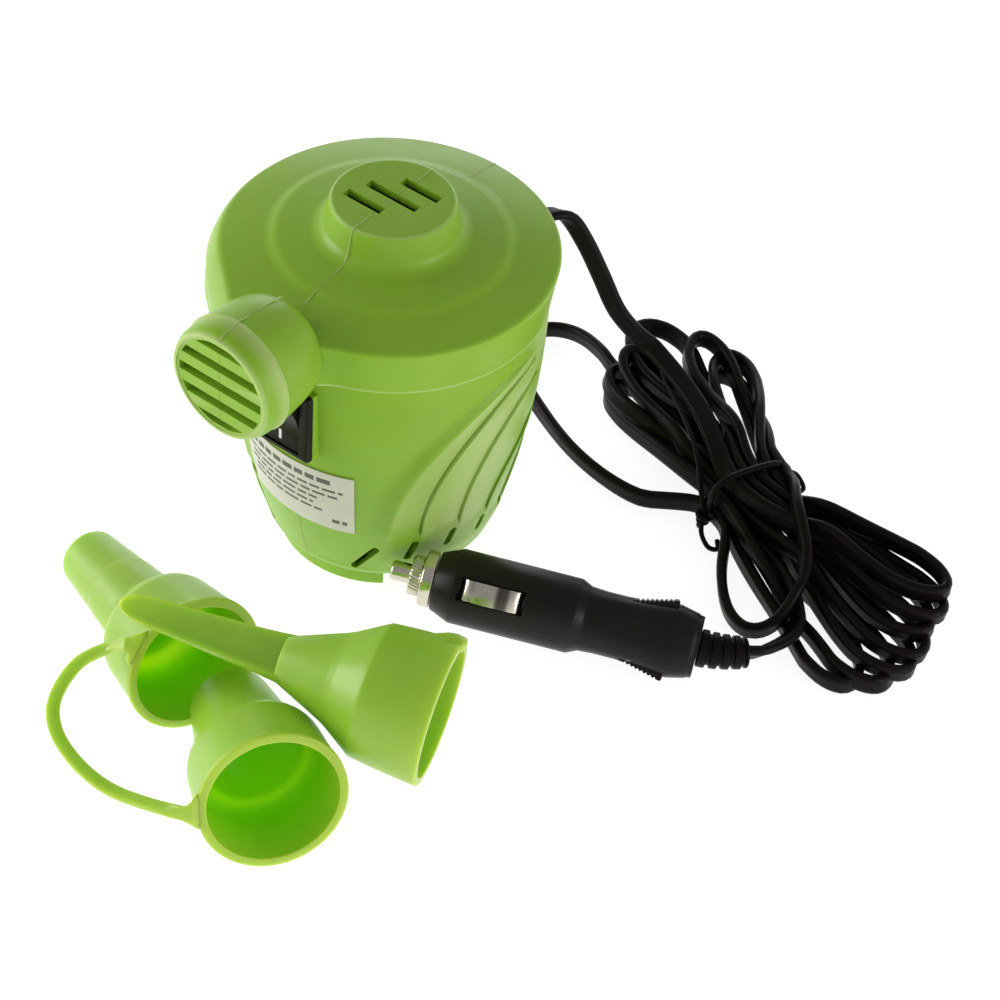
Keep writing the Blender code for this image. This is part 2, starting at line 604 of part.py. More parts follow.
def hank():
    """One closed solid of the tied bundle's outer shape, thinner at both ends."""
    centre = Vector((84, 68, 0))
    def ring(z, shrink):
        out = []
        for x, y in HANK_OUTLINE:
            p = Vector((x, y, 0))
            inward = (centre - p).normalized() * shrink
            out.append((p.x + inward.x, p.y + inward.y, z))
        return out
    rings = [ring(HANK_LOW, 6.0), ring(4.5, 1.2), ring(9.5, 0.0), ring(15.0, 2.4), ring(HANK_HIGH, 9.0)]
    make("cord_hank", *loft(rings), rubber())


def cable_tie():
    """Thin tie laid round the waist of the hank."""
    centre, across = Vector((83.0, 67.2)), Vector((0.44, 0.898)).normalized()
    along_dir = Vector((across.y, -across.x))
    middle_z, half_width, half_height = 10.85, 12.9, 9.6
    rings = []
    n = 32
    for k in range(n):
        turn = 2 * math.pi * k / n
        u, v = math.cos(turn), math.sin(turn)
        shape = (abs(u) ** 3 + abs(v) ** 3) ** (-1 / 3)
        for out, shift in ((0.0, -0.9), (1.0, -0.9), (1.0, 0.9), (0.0, 0.9)):
            p = centre + across * ((half_width + out) * u * shape) + along_dir * shift
            rings.append((p.x, p.y, middle_z + (half_height + out) * v * shape))
    rings = [rings[4 * k:4 * k + 4] for k in range(n)]
    verts = [v for ring in rings for v in ring]
    faces = [(4 * i + j, 4 * i + (j + 1) % 4, 4 * ((i + 1) % n) + (j + 1) % 4, 4 * ((i + 1) % n) + j)
             for i in range(n) for j in range(4)]
    make("cable_tie", verts, faces, rubber())


# ---------------------------------------------------------------- plug
def plug_frame():
    """Local Z along the plug towards the cord, local X towards the visible contact."""
    contact, third = plug_axes()
    frame = Matrix((contact, third, PLUG_DIR)).transposed().to_4x4()
    frame.translation = PLUG_ORIGIN
    return frame


def plug_section(half_x, half_y, s, n=32):
    """Rounded outline between an ellipse and a box, across the plug."""
    ring = []
    for k in range(n):
        turn = 2 * math.pi * k / n
        u, v = math.cos(turn), math.sin(turn)
        power = 2.0 if abs(half_x - half_y) < 0.3 else 2.7
        shape = (abs(u) ** power + abs(v) ** power) ** (-1 / power)
        ring.append((half_x * u * shape, half_y * v * shape, s))
    return ring


def plug():
    frame = plug_frame()
    sections = [(8.6, 8.6, 0.3), (9.6, 9.6, 1.5), (BARREL_R, BARREL_R, 4.5), (BARREL_R, BARREL_R, BARREL_END),
                (9.3, 9.3, 42.5), (8.9, 9.2, 47.0), (8.8, 9.6, 53.0), (9.0, 10.5, 59.0),
                (9.2, 11.5, 65.5), (9.1, 11.4, 69.0), (8.2, 10.0, 72.0), (7.4, 8.8, GRIP_END)]
    shell = tool(loft([plug_section(a, b, s) for a, b, s in sections]), frame)
    hollow = [(3.3, -1.0), (3.3, 5.0), (6.6, 5.5), (6.6, 38.0), (4.2, 40.0), (4.2, 62.0),
              (2.6, 63.5), (2.6, 80.0)]
    windows = [tool(prism([(side * 5.0, -3.3), (side * 14.0, -3.3), (side * 14.0, 3.3), (side * 5.0, 3.3)],
                          7.3, 25.8), frame) for side in (-1, 1)]
    screw_hole = tool(turned([(1.35, -8), (1.35, 6.5)], 12), frame @ along((0, 7.0, 57), (1, 0, 0)))
    shell = combine(shell, [tool(turned(hollow, 20), frame), screw_hole] + windows, solver="MANIFOLD")
    for name, side in (("plug_half_front", -1), ("plug_half_back", 1)):
        half = shell.copy()
        half.data = shell.data.copy()
        half.name = name
        bpy.context.scene.collection.objects.link(half)
        x0, x1 = sorted((-side * GAP / 2, side * 40.0))
        finish(combine(half, [tool(block(x0, x1, -40, 40, -20, 120), frame)], solver="MANIFOLD"), black())
    bpy.data.objects.remove(shell, do_unlink=True)
    make("plug_screw", *turned([(1.1, -5.2), (1.1, 5.6)], 14), steel(), frame @ along((0, 7.0, 57), (1, 0, 0)))

    collar = [(3.15, -3.4), (7.6, -3.4), (7.9, -3.0), (7.9, 0.0), (3.15, 0.0)]
    make("plug_collar", *turned_ring(collar, 28), nickel(), frame)
    nut = [(3.15, -6.8), (5.2, -6.8), (5.7, -6.3), (5.7, -3.7), (3.15, -3.7)]
    make("plug_nut", *turned_ring(nut, 24), nickel(), frame)
    make("plug_tip", *turned([(1.4, -10.6), (2.5, -10.2), (2.8, -9.6), (2.8, 4.6)], 24), nickel(), frame)
    make("plug_fuse", *turned([(2.9, 5.3), (3.1, 5.8), (3.1, 30.0), (2.9, 30.4)], 20),
         material("fuse_glass", (0.62, 0.70, 0.70), 0.15), frame)
    spring()
    for name, side in (("contact_front", 1), ("contact_back", -1)):
        contact_spring(name, side, frame)
    ribs = [(5.2, 74.8)]
    for k in range(4):
        s, r = 75.4 + 3.0 * k, 5.3 - 0.25 * k
        ribs += [(r, s), (r, s + 1.5), (r - 0.8, s + 1.9), (r - 0.8, s + 2.6)]
    ribs += [(3.6, RELIEF_END)]
    make("plug_relief", *loft([relief_ring(r, s) for r, s in ribs]), rubber())


def spring():
    """Coil spring that pushes the fuse and the tip forward."""
    turns, low, high, radius = 4, 31.2, 37.4, 2.5
    frame = plug_frame()
    route = []
    for k in range(turns * 8 + 1):
        turn = 2 * math.pi * k / 8
        route.append(frame @ Vector((radius * math.cos(turn), radius * math.sin(turn),
                                     low + (high - low) * k / (turns * 8))))
    tube("plug_spring", route, 0.7, steel(), 1.9, 1)


def relief_point(s):
    """Centre of the strain relief, which bends towards the hank."""
    t = max(0.0, s - GRIP_END) / (RELIEF_END - GRIP_END)
    return plug_point(s) + Vector((-PLUG_DIR.y, PLUG_DIR.x, 0)) * RELIEF_BEND * t * t


def relief_ring(radius, s, n=16):
    frame = along(relief_point(s), relief_point(s + 0.5) - relief_point(s - 0.5))
    return [tuple(frame @ Vector(p)) for p in circle(radius, 0.0, n)]


def contact_spring(name, side, frame):
    """Bowed nickel leaf that stands a little out of its window."""
    outer = [(8.0, 7.7), (9.9, 9.5), (10.9, 12.5), (11.1, 16.5), (10.8, 20.5), (9.7, 23.6), (8.0, 25.4)]
    inner = [(x - 0.6, s) for x, s in reversed(outer)]
    outline = [(side * x, s) for x, s in outer + inner]
    verts, faces = loft([[(x, y, s) for x, s in outline] for y in (-2.9, 2.9)])
    make(name, verts, faces, nickel(), frame)


# ---------------------------------------------------------------- adapters
def adapter_frame(spec):
    """Local Z runs from the mouth to the tip, local Y stays upright."""
    mouth, azimuth, elevation, roll = spec
    lift = math.radians(elevation)
    way = Vector((math.cos(math.radians(azimuth)) * math.cos(lift),
                  math.sin(math.radians(azimuth)) * math.cos(lift), math.sin(lift)))
    return along(mouth, way) @ Matrix.Rotation(math.radians(roll), 4, "Z")


def adapters():
    rim = [(SOCKET_BORE, 0.0), (SOCKET_R, 0.0), (SOCKET_R, 1.8), (SOCKET_R - 0.6, 2.6)]
    long_outline = rim + [(17.3, 19.0), (16.2, 21.0), (12.2, 24.0), (11.8, 26.0), (8.4, 60.0),
                          (6.8, 60.0), (10.2, 26.0), (10.6, 24.8), (14.8, 21.0), (15.7, 18.4)]
    make("adapter_long", *turned_ring(long_outline, 32), soft_green(), adapter_frame(LONG_ADAPTER))
    wide_outline = rim + [(18.2, 19.0), (17.2, 21.2), (14.8, 22.2), (11.0, 48.0),
                          (9.5, 48.0), (13.2, 22.8), (15.8, 19.8), (16.5, 18.2)]
    make("adapter_wide", *turned_ring(wide_outline, 32), soft_green(), adapter_frame(WIDE_ADAPTER))
    adapter_pinch()
    adapter_strap()


def adapter_pinch():
    """Socket and cone that end in a long narrowing tongue."""
    frame = adapter_frame(PINCH_ADAPTER)
    outline = [(SOCKET_BORE, 0.0), (SOCKET_R, 0.0), (18.75, 12.0), (18.05, 19.0), (17.0, 20.8), (12.0, 30.0),
               (6.2, 43.5), (4.4, 43.5), (10.4, 29.4), (15.5, 19.8), (16.1, 18.0)]
    ob = make("adapter_pinch", *turned_ring(outline, 32), soft_green(), frame)
    stations = [(39.0, 6.9, 3.0, 3.0), (44.0, 6.2, 2.6, 2.6), (52.0, 5.6, 2.0, 2.2), (66.0, 4.8, 1.4, 1.7),
                (80.0, 3.9, 1.1, 1.5), (86.0, 3.0, 0.9, 1.2), (88.5, 1.6, 0.6, 0.8)]
    rings = []
    for s, half, low, high in stations:
        rings.append([(-half, 0.0, s), (-0.55 * half, -low, s), (0.55 * half, -low, s), (half, 0.0, s),
                      (half, high, s), (0.5 * half, 0.5 * high, s), (-0.5 * half, 0.5 * high, s),
                      (-half, high, s)])
    finish(combine(ob, [tool(loft(rings), frame)], "UNION"), soft_green())


def rim_point(spec, degrees, reach):
    """Point beside a socket's rim; degrees turn about the socket's axis from its level side."""
    frame = adapter_frame(spec)
    turn = math.radians(degrees)
    return frame @ Vector((reach * math.cos(turn), reach * math.sin(turn), 1.2))


def set_origin(name, point):
    """Move the object's origin to a point on its joint axis, without moving its shape."""
    ob = bpy.data.objects[name]
    ob.data.transform(Matrix.Translation(-Vector(point) * MM))
    ob.location = Vector(point) * MM


def joint_origins():
    set_origin("switch_rocker", (0, ROCKER_PIVOT_Y, SWITCH_Z))
    for name in ("plug_tip", "plug_fuse", "plug_spring"):
        set_origin(name, PLUG_ORIGIN)
    contact, _ = plug_axes()
    for name, side in (("contact_front", 1), ("contact_back", -1)):
        set_origin(name, plug_point(16.5) + contact * side * 10.0)
    for name, spec in (("adapter_long", LONG_ADAPTER), ("adapter_wide", WIDE_ADAPTER),
                       ("adapter_strap", LONG_ADAPTER), ("adapter_pinch", PINCH_ADAPTER)):
        set_origin(name, spec[0])


def adapter_strap():
    """Flat strap that ties the two sockets together in one loop."""
    start = rim_point(LONG_ADAPTER, 36.0, SOCKET_R + 0.3)
    first = rim_point(LONG_ADAPTER, 36.0, SOCKET_R + 4.0)
    last = rim_point(WIDE_ADAPTER, 3.0, SOCKET_R + 4.0)
    end = rim_point(WIDE_ADAPTER, 3.0, SOCKET_R + 0.3)
    route = [start, first, (-3.0, -109.0, 30), (-6.9, -116.1, 27.5), (-6.2, -124.5, 25), (-3, -130.5, 23),
             (3.8, -135, 21.5), (15, -137.8, 20.5), (27, -137.6, 20.5), last, end]
    points = smooth_points(route, 5.0)
    rings = []
    for k, p in enumerate(points):
        a, b = points[max(0, k - 1)], points[min(len(points) - 1, k + 1)]
        way = (b - a).normalized()
        side = way.cross(Vector((0, 0, 1))).normalized()
        up = side.cross(way)
        ends = min(k, len(points) - 1 - k)
        half = 1.8 + (0.9 if ends == 0 else 0.3 if ends == 1 else 0.0)
        rings.append([tuple(p + side * u * half + up * v * 0.9) for u, v in ((-1, -1), (1, -1), (1, 1), (-1, 1))])
    make("adapter_strap", *loft(rings), soft_green())


def main():
    clear_scene()
    casing()
    case_screws()
    foot_pad()
    label()
    fan_plate()
    motor()
    rotor()
    switch()
    wires()
    cord()
    plug()
    adapters()
    joint_origins()


main()
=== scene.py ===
import json
from math import atan2, cos, exp, hypot, pi, radians, sin, sqrt
from math import degrees as in_degrees

import bmesh
import bpy
import numpy as np
from mathutils import Matrix, Vector, noise


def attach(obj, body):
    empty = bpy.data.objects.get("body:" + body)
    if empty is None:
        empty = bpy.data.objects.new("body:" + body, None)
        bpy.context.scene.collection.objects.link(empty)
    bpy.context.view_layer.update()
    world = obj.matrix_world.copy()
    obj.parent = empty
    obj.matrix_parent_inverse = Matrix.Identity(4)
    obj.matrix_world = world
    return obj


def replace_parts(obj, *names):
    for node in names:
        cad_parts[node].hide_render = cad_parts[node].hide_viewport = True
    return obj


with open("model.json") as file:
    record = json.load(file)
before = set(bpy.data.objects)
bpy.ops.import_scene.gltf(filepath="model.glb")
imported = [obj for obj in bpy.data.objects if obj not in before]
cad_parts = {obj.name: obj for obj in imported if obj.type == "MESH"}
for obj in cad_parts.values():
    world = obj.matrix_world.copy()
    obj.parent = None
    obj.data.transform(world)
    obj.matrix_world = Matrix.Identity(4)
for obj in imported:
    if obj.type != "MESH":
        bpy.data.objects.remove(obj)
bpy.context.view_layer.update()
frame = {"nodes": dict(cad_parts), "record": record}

MM = 0.001
nodes = frame["nodes"]


def link(ob):
    bpy.context.scene.collection.objects.link(ob)


def put(node, **values):
    """Sets a node's sockets; an underscore stands for a space in a socket's name."""
    for name, value in values.items():
        node.inputs[name.replace("_", " ")].default_value = value
    return node


def shader_node(nt, kind, **values):
    return put(nt.nodes.new("ShaderNode" + kind), **values)


# ---------------------------------------------------------------- camera, floor and light
CAMERA_AT = (0.3464, -0.4519, 0.5734)
CAMERA_PITCH, CAMERA_ROLL = 44.84, 4.99      # degrees looking down, and leaning about the view
LEVEL_X, LEVEL_Y = 0.829, 0.559              # level direction to the camera's right
LENS, SENSOR = 100.0, 36.0
SKY_TOP = 0.33                               # the studio is white at the floor and grey overhead
FLOOR_COLOUR, FLOOR_GLOW, FLOOR_HALF, FLOOR_DROP = (0.42, 0.42, 0.42), 0.88, 4.0, 0.0002
# name, place, what it faces, size and power of each soft light
LIGHTS = [("key_light", (-0.9, -0.5, 0.30), (0.02, 0, 0.04), 0.7, 6.0),
          ("back_light", (-0.6, 0.9, 0.35), (0.02, 0, 0.06), 0.6, 1.4),
          ("side_light", (0.95, 0.1, 0.25), (0.03, 0, 0.05), 0.4, 2.0)]


def camera():
    pitch, roll = radians(CAMERA_PITCH), radians(CAMERA_ROLL)
    forward = Vector((-LEVEL_Y * cos(pitch), LEVEL_X * cos(pitch), -sin(pitch))).normalized()
    level = Vector((LEVEL_X, LEVEL_Y, 0)).normalized()
    upright = level.cross(forward)
    right = level * cos(roll) + upright * sin(roll)
    up = -level * sin(roll) + upright * cos(roll)
    pose = Matrix((right, up, -forward)).transposed().to_4x4()
    pose.translation = Vector(CAMERA_AT)
    cam = bpy.data.cameras.new("camera")
    ob = bpy.data.objects.new("camera", cam)
    link(ob)
    ob.matrix_world = pose
    cam.sensor_width, cam.lens = SENSOR, LENS
    cam.clip_start, cam.clip_end = 0.01, 50.0
    bpy.context.scene.camera = ob


def area_light(name, place, target, size, power):
    light = bpy.data.lights.new(name, "AREA")
    light.shape, light.size, light.energy = "DISK", size, power
    ob = bpy.data.objects.new(name, light)
    link(ob)
    ob.location = place
    ob.rotation_euler = (Vector(target) - Vector(place)).to_track_quat("-Z", "Y").to_euler()


def studio():
    bpy.context.scene.view_settings.view_transform = "Standard"
    world = bpy.data.worlds.new("studio")
    bpy.context.scene.world = world
    world.use_nodes = True
    nt = world.node_tree
    split = shader_node(nt, "SeparateXYZ")
    nt.links.new(shader_node(nt, "TexCoord").outputs["Generated"], split.inputs[0])
    sky = ramp_node(nt, split.outputs["Z"], [(0.0, (1, 1, 1)), (0.62, (SKY_TOP, SKY_TOP, SKY_TOP))])
    nt.links.new(sky, nt.nodes["Background"].inputs["Color"])
    for light in LIGHTS:
        area_light(*light)
    mesh = bpy.data.meshes.new("floor")
    s = FLOOR_HALF
    mesh.from_pydata([(-s, -s, 0), (s, -s, 0), (s, s, 0), (-s, s, 0)], [], [(0, 1, 2, 3)])
    floor = bpy.data.objects.new("floor", mesh)
    link(floor)
    floor.location.z = -FLOOR_DROP
    mat, nt, shader = new_material("floor_white", FLOOR_COLOUR, 0.9)
    put(shader, Emission_Color=(1, 1, 1, 1), Emission_Strength=FLOOR_GLOW)
    mesh.materials.append(mat)


# ---------------------------------------------------------------- materials
def new_material(name, colour, roughness, metallic=0.0):
    mat = bpy.data.materials.new(name)
    mat.use_nodes = True
    nt = mat.node_tree
    shader = nt.nodes["Principled BSDF"]
    put(shader, Base_Color=(*colour, 1.0), Roughness=roughness, Metallic=metallic)
    return mat, nt, shader


def noise_node(nt, scale, detail=3.0, stretch=None):
    place = shader_node(nt, "TexCoord").outputs["Object"]
    tex = shader_node(nt, "TexNoise", Scale=scale, Detail=detail)
    if stretch:
        mapping = shader_node(nt, "Mapping", Scale=stretch)
        nt.links.new(place, mapping.inputs[0])
        place = mapping.outputs[0]
    nt.links.new(place, tex.inputs["Vector"])
    return tex.outputs["Fac"]


def ramp_node(nt, source, stops):
    ramp = shader_node(nt, "ValToRGB")
    while len(ramp.color_ramp.elements) < len(stops):
        ramp.color_ramp.elements.new(0.5)
    for element, (place, colour) in zip(ramp.color_ramp.elements, stops):
        element.position = place
        element.color = (*colour, 1.0)
    nt.links.new(source, ramp.inputs[0])
    return ramp.outputs["Color"]


def spread(nt, source, low, high):
    """The noise value mapped to the range low..high."""
    node = shader_node(nt, "MapRange", From_Min=0.3, From_Max=0.7, To_Min=low, To_Max=high)
    nt.links.new(source, node.inputs["Value"])
    return node.outputs["Result"]


def bumps(nt, shader, source, strength, distance):
    bump = shader_node(nt, "Bump", Strength=strength, Distance=distance)
    nt.links.new(source, bump.inputs["Height"])
    nt.links.new(bump.outputs[0], shader.inputs["Normal"])


def plastic(name, colour, roughness, vary=0.07, grain=1500.0, bump=0.15, subsurface=0.0,
            radius=(1, 1, 1), depth=0.003):
    """Moulded plastic: faint clouding of colour and gloss, and a fine moulded grain."""
    mat, nt, shader = new_material(name, colour, roughness)
    cloud = noise_node(nt, 38.0, 4.0)
    dark = tuple(c * (1 - vary) for c in colour)
    light = tuple(min(1.0, c * (1 + vary)) for c in colour)
    nt.links.new(ramp_node(nt, cloud, [(0.3, dark), (0.7, light)]), shader.inputs["Base Color"])
    nt.links.new(spread(nt, noise_node(nt, 90.0, 4.0), roughness - 0.05, roughness + 0.05),
                 shader.inputs["Roughness"])
    bumps(nt, shader, noise_node(nt, grain, 2.0), bump, 0.00005)
    if subsurface:
        put(shader, Subsurface_Weight=subsurface, Subsurface_Radius=radius, Subsurface_Scale=depth)
    return mat


def metal(name, colour, roughness, scratch=(4.0, 4.0, 60.0)):
    mat, nt, shader = new_material(name, colour, roughness, 1.0)
    lines = noise_node(nt, 120.0, 5.0, scratch)
    dark = tuple(c * 0.86 for c in colour)
    nt.links.new(ramp_node(nt, lines, [(0.3, dark), (0.7, colour)]), shader.inputs["Base Color"])
    nt.links.new(spread(nt, lines, roughness - 0.06, roughness + 0.08), shader.inputs["Roughness"])
    bumps(nt, shader, lines, 0.12, 0.00005)
    return mat


GREEN = (0.265, 0.485, 0.030)
LIME = (0.34, 0.56, 0.045)
MATERIALS = {}


# each row is what plastic() or metal() takes
PLASTICS = [("case_green", GREEN, 0.36, 0.04, 1400.0, 0.12, 0.25, (0.5, 1.0, 0.1)),
            ("black_plastic", (0.010, 0.008, 0.006), 0.36, 0.15, 1300.0, 0.25),
            ("black_pvc", (0.007, 0.005, 0.004), 0.40, 0.2, 900.0, 0.2),
            ("ferrite", (0.05, 0.05, 0.055), 0.7, 0.2, 900.0, 0.4),
            ("fuse_glass", (0.62, 0.70, 0.70), 0.12, 0.05), ("red_pvc", (0.40, 0.02, 0.02), 0.35, 0.1),
            ("white_paper", (0.66, 0.64, 0.55), 0.42, 0.03, 500.0, 0.05),
            ("soft_lime", LIME, 0.33, 0.05, 700.0, 0.08, 0.8, (0.6, 1.0, 0.12))]
METALS = [("nickel", (0.74, 0.68, 0.58), 0.2), ("nickel_leaf", (0.74, 0.68, 0.58), 0.2),
          ("steel", (0.55, 0.55, 0.56), 0.34), ("brass", (0.72, 0.50, 0.20), 0.3),
          ("copper", (0.60, 0.23, 0.10), 0.3, (4, 4, 300)),
          ("laminations", (0.30, 0.29, 0.28), 0.45, (1, 1, 400))]
SHINE = {"black_plastic": 0.2, "black_pvc": 0.10, "case_green": 0.34, "soft_lime": 0.34}


def make_materials():
    for kind, rows in ((plastic, PLASTICS), (metal, METALS)):
        MATERIALS.update((row[0], kind(*row)) for row in rows)
    # the leaf's dark weight paints dark reflections into the nickel's colour
    tint(MATERIALS["nickel_leaf"], ("dark", (0.05, 0.042, 0.034)))
    # the groove weight darkens the case green as painted shade, and the edge weight lightens it as painted
    # highlight and painted sheen
    tint(MATERIALS["case_green"], ("groove", (0.13, 0.27, 0.008)), ("edge", (0.46, 0.60, 0.20)))
    for name, level in SHINE.items():
        put(MATERIALS[name].node_tree.nodes["Principled BSDF"], Specular_IOR_Level=level)


def tint(mat, *tints):
    """Mixes a colour into the base colour for each vertex weight, such as the painted shade named groove or
    the painted highlight named edge.
    """
    nt = mat.node_tree
    shader = nt.nodes["Principled BSDF"]
    base = shader.inputs["Base Color"].links[0].from_socket
    for attribute, colour in tints:
        attr, mix = shader_node(nt, "Attribute"), shader_node(nt, "Mix")
        attr.attribute_name = attribute
        mix.data_type = "RGBA"
        nt.links.new(attr.outputs["Fac"], mix.inputs[0])
        nt.links.new(base, mix.inputs[6])
        mix.inputs[7].default_value = (*colour, 1)
        base = mix.outputs[2]
    nt.links.new(base, shader.inputs["Base Color"])


def dress_nodes():
    slot_of = {s["node"]: s["material_slot"] for s in frame["record"]["subparts"]}
    for name, ob in nodes.items():
        mat = MATERIALS[slot_of[name]]
        if not ob.material_slots:
            ob.data.materials.append(mat)
        for s in ob.material_slots:
            s.material = mat


# ---------------------------------------------------------------- mesh helpers, in millimetres
def dress(ob, mat, angle, body):
    """Material, smooth shading and CAD body of one piece."""
    ob.data.materials.append(MATERIALS[mat] if isinstance(mat, str) else mat)
    shade(ob, angle)
    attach(ob, body)
    return ob


def make(name, verts, faces, mat, pose=None, angle=35.0, slot=None, body="pump"):
    return dress(raw(name, verts, faces, pose), mat, angle, body)


def weigh(ob, name, values):
    """Vertex weights that tint() reads by their name."""
    ob.data.attributes.new(name, "FLOAT", "POINT").data.foreach_set("value", values)


def raw(name, verts, faces, pose=None):
    mesh = bpy.data.meshes.new(name)
    points = [Vector(v) for v in verts]
    if pose is not None:
        points = [pose @ p for p in points]
    mesh.from_pydata([p * MM for p in points], [], faces)
    bm = bmesh.new()
    bm.from_mesh(mesh)
    bmesh.ops.recalc_face_normals(bm, faces=bm.faces)
    bm.to_mesh(mesh)
    bm.free()
    ob = bpy.data.objects.new(name, mesh)
    link(ob)
    return ob


def shade(ob, angle):
    mesh = ob.data
    mesh.polygons.foreach_set("use_smooth", [True] * len(mesh.polygons))
    bm = bmesh.new()
    bm.from_mesh(mesh)
    for edge in bm.edges:
        edge.smooth = len(edge.link_faces) == 2 and edge.calc_face_angle(0.0) < radians(angle)
    bm.to_mesh(mesh)
    bm.free()


def loft(rings, caps=True, closed=False):
    n, m = len(rings[0]), len(rings)
    verts = [v for ring in rings for v in ring]
    last = m if closed else m - 1
    faces = [(i * n + j, i * n + (j + 1) % n, (i + 1) % m * n + (j + 1) % n, (i + 1) % m * n + j)
             for i in range(last) for j in range(n)]
    if caps and not closed:
        faces.append(tuple(range(n))[::-1])
        faces.append(tuple((m - 1) * n + j for j in range(n)))
    return verts, faces


def turns(n):
    """Angles of n even steps round a circle."""
    return [2 * pi * k / n for k in range(n)]


def circle(radius, height, n):
    return [(radius * cos(a), radius * sin(a), height) for a in turns(n)]


def turned(profile, n=96):
    return loft([circle(max(r, 0.02), z, n) for r, z in profile])


def turned_ring(profile, n=96):
    return loft([circle(r, z, n) for r, z in profile], closed=True)


def prism(outline, z0, z1):
    return loft([[(x, y, z) for x, y in outline] for z in (z0, z1)])


def block(x0, x1, y0, y1, z0, z1):
    return prism([(x0, y0), (x1, y0), (x1, y1), (x0, y1)], z0, z1)


def rounded(half_x, half_y, radius, n=8):
    corners = [(half_x - radius, half_y - radius, 0), (radius - half_x, half_y - radius, 90),
               (radius - half_x, radius - half_y, 180), (half_x - radius, radius - half_y, 270)]
    return [(cx + radius * cos(radians(a + 90 * k / (n - 1))),
             cy + radius * sin(radians(a + 90 * k / (n - 1))))
            for cx, cy, a in corners for k in range(n)]


def along(origin, direction, up=(0, 0, 1)):
    z = Vector(direction).normalized()
    x = Vector(up).cross(z)
    x = x.normalized() if x.length > 1e-6 else Vector((1, 0, 0))
    y = z.cross(x)
    pose = Matrix((x, y, z)).transposed().to_4x4()
    pose.translation = Vector(origin)
    return pose


def tool(verts_faces, pose=None):
    return raw("tool", *verts_faces, pose)


def combine(ob, tools, operation="DIFFERENCE"):
    """Boolean steps with closed tools, each applied and removed."""
    for other in tools:
        mod = ob.modifiers.new("bool", "BOOLEAN")
        mod.operation, mod.solver, mod.object = operation, "MANIFOLD", other
        depsgraph = bpy.context.evaluated_depsgraph_get()
        mesh = bpy.data.meshes.new_from_object(ob.evaluated_get(depsgraph))
        ob.modifiers.remove(mod)
        old, ob.data = ob.data, mesh
        bpy.data.meshes.remove(old)
        bpy.data.objects.remove(other, do_unlink=True)
    return ob


def finish_solid(ob, name, mat, angle=32.0, body="pump"):
    ob.name = name
    ob.data.materials.clear()
    return dress(ob, mat, angle, body)


def split_in_two(shell, halves, gap, box, mat, angle, pose=None):
    """Cuts a shell along its middle plane into two named halves, each for its own CAD node."""
    made = []
    for name, node, side in halves:
        half = shell.copy()
        half.data = shell.data.copy()
        link(half)
        x0, x1 = sorted((side * gap, side * 80.0))
        combine(half, [tool(block(x0, x1, *box), pose)], "INTERSECT")
        made.append(finish_solid(half, name, mat, angle))
        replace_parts(half, node)
    bpy.data.objects.remove(shell, do_unlink=True)
    return made


def polar(radius, degrees, z=0.0):
    return Vector((radius * cos(radians(degrees)), radius * sin(radians(degrees)), z))


def clamp(x, low=0.0, high=1.0):
    return min(high, max(low, x))


def ease(x):
    x = clamp(x)
    return x * x * (3 - 2 * x)


def rounded_profile(points, radii, steps=5):
    """Open (r, z) profile with its inner corners rounded by the given radii."""
    out = [points[0]]
    for (a, b, c), radius in zip(zip(points, points[1:], points[2:]), radii):
        a, b, c = Vector(a), Vector(b), Vector(c)
        if radius <= 0:
            out.append(tuple(b))
            continue
        cut = min(radius, (a - b).length * 0.48, (c - b).length * 0.48)
        p, q = b + (a - b).normalized() * cut, b + (c - b).normalized() * cut
        for k in range(steps + 1):
            t = k / steps
            out.append(tuple(p * (1 - t) ** 2 + b * 2 * t * (1 - t) + q * t * t))
    out.append(points[-1])
    return out


def catmull(route, spacing):
    """Even points on a Catmull-Rom curve through the route's points."""
    pts = [Vector(p) for p in route]
    pts = [2 * pts[0] - pts[1]] + pts + [2 * pts[-1] - pts[-2]]
    fine = []
    for a, b, c, d in zip(pts, pts[1:], pts[2:], pts[3:]):
        for k in range(16):
            t = k / 16.0
            fine.append(0.5 * (2 * b + (c - a) * t + (2 * a - 5 * b + 4 * c - d) * t * t
                               + (3 * b - a - 3 * c + d) * t ** 3))
    fine.append(pts[-2])
    return even(fine, spacing)


def even(fine, spacing):
    arr = np.array([tuple(p) for p in fine])
    walk = np.concatenate([[0], np.cumsum(np.linalg.norm(np.diff(arr, axis=0), axis=1))])
    count = max(2, int(round(walk[-1] / spacing)))
    at = np.linspace(0, walk[-1], count + 1)
    return [Vector([float(np.interp(s, walk, arr[:, i])) for i in range(3)]) for s in at]


def ways(points):
    """The way a line of points runs at each of its points."""
    last = len(points) - 1
    return [points[min(last, k + 1)] - points[max(0, k - 1)] for k in range(last + 1)]


def wire(points, radius_at, up=(0, 0, 1)):
    """Round wire along the points, with the radius that radius_at gives for each."""
    return loft([[tuple(along(p, way, up) @ Vector(q)) for q in circle(radius_at(k), 0, 8)]
                 for k, (p, way) in enumerate(zip(points, ways(points)))])


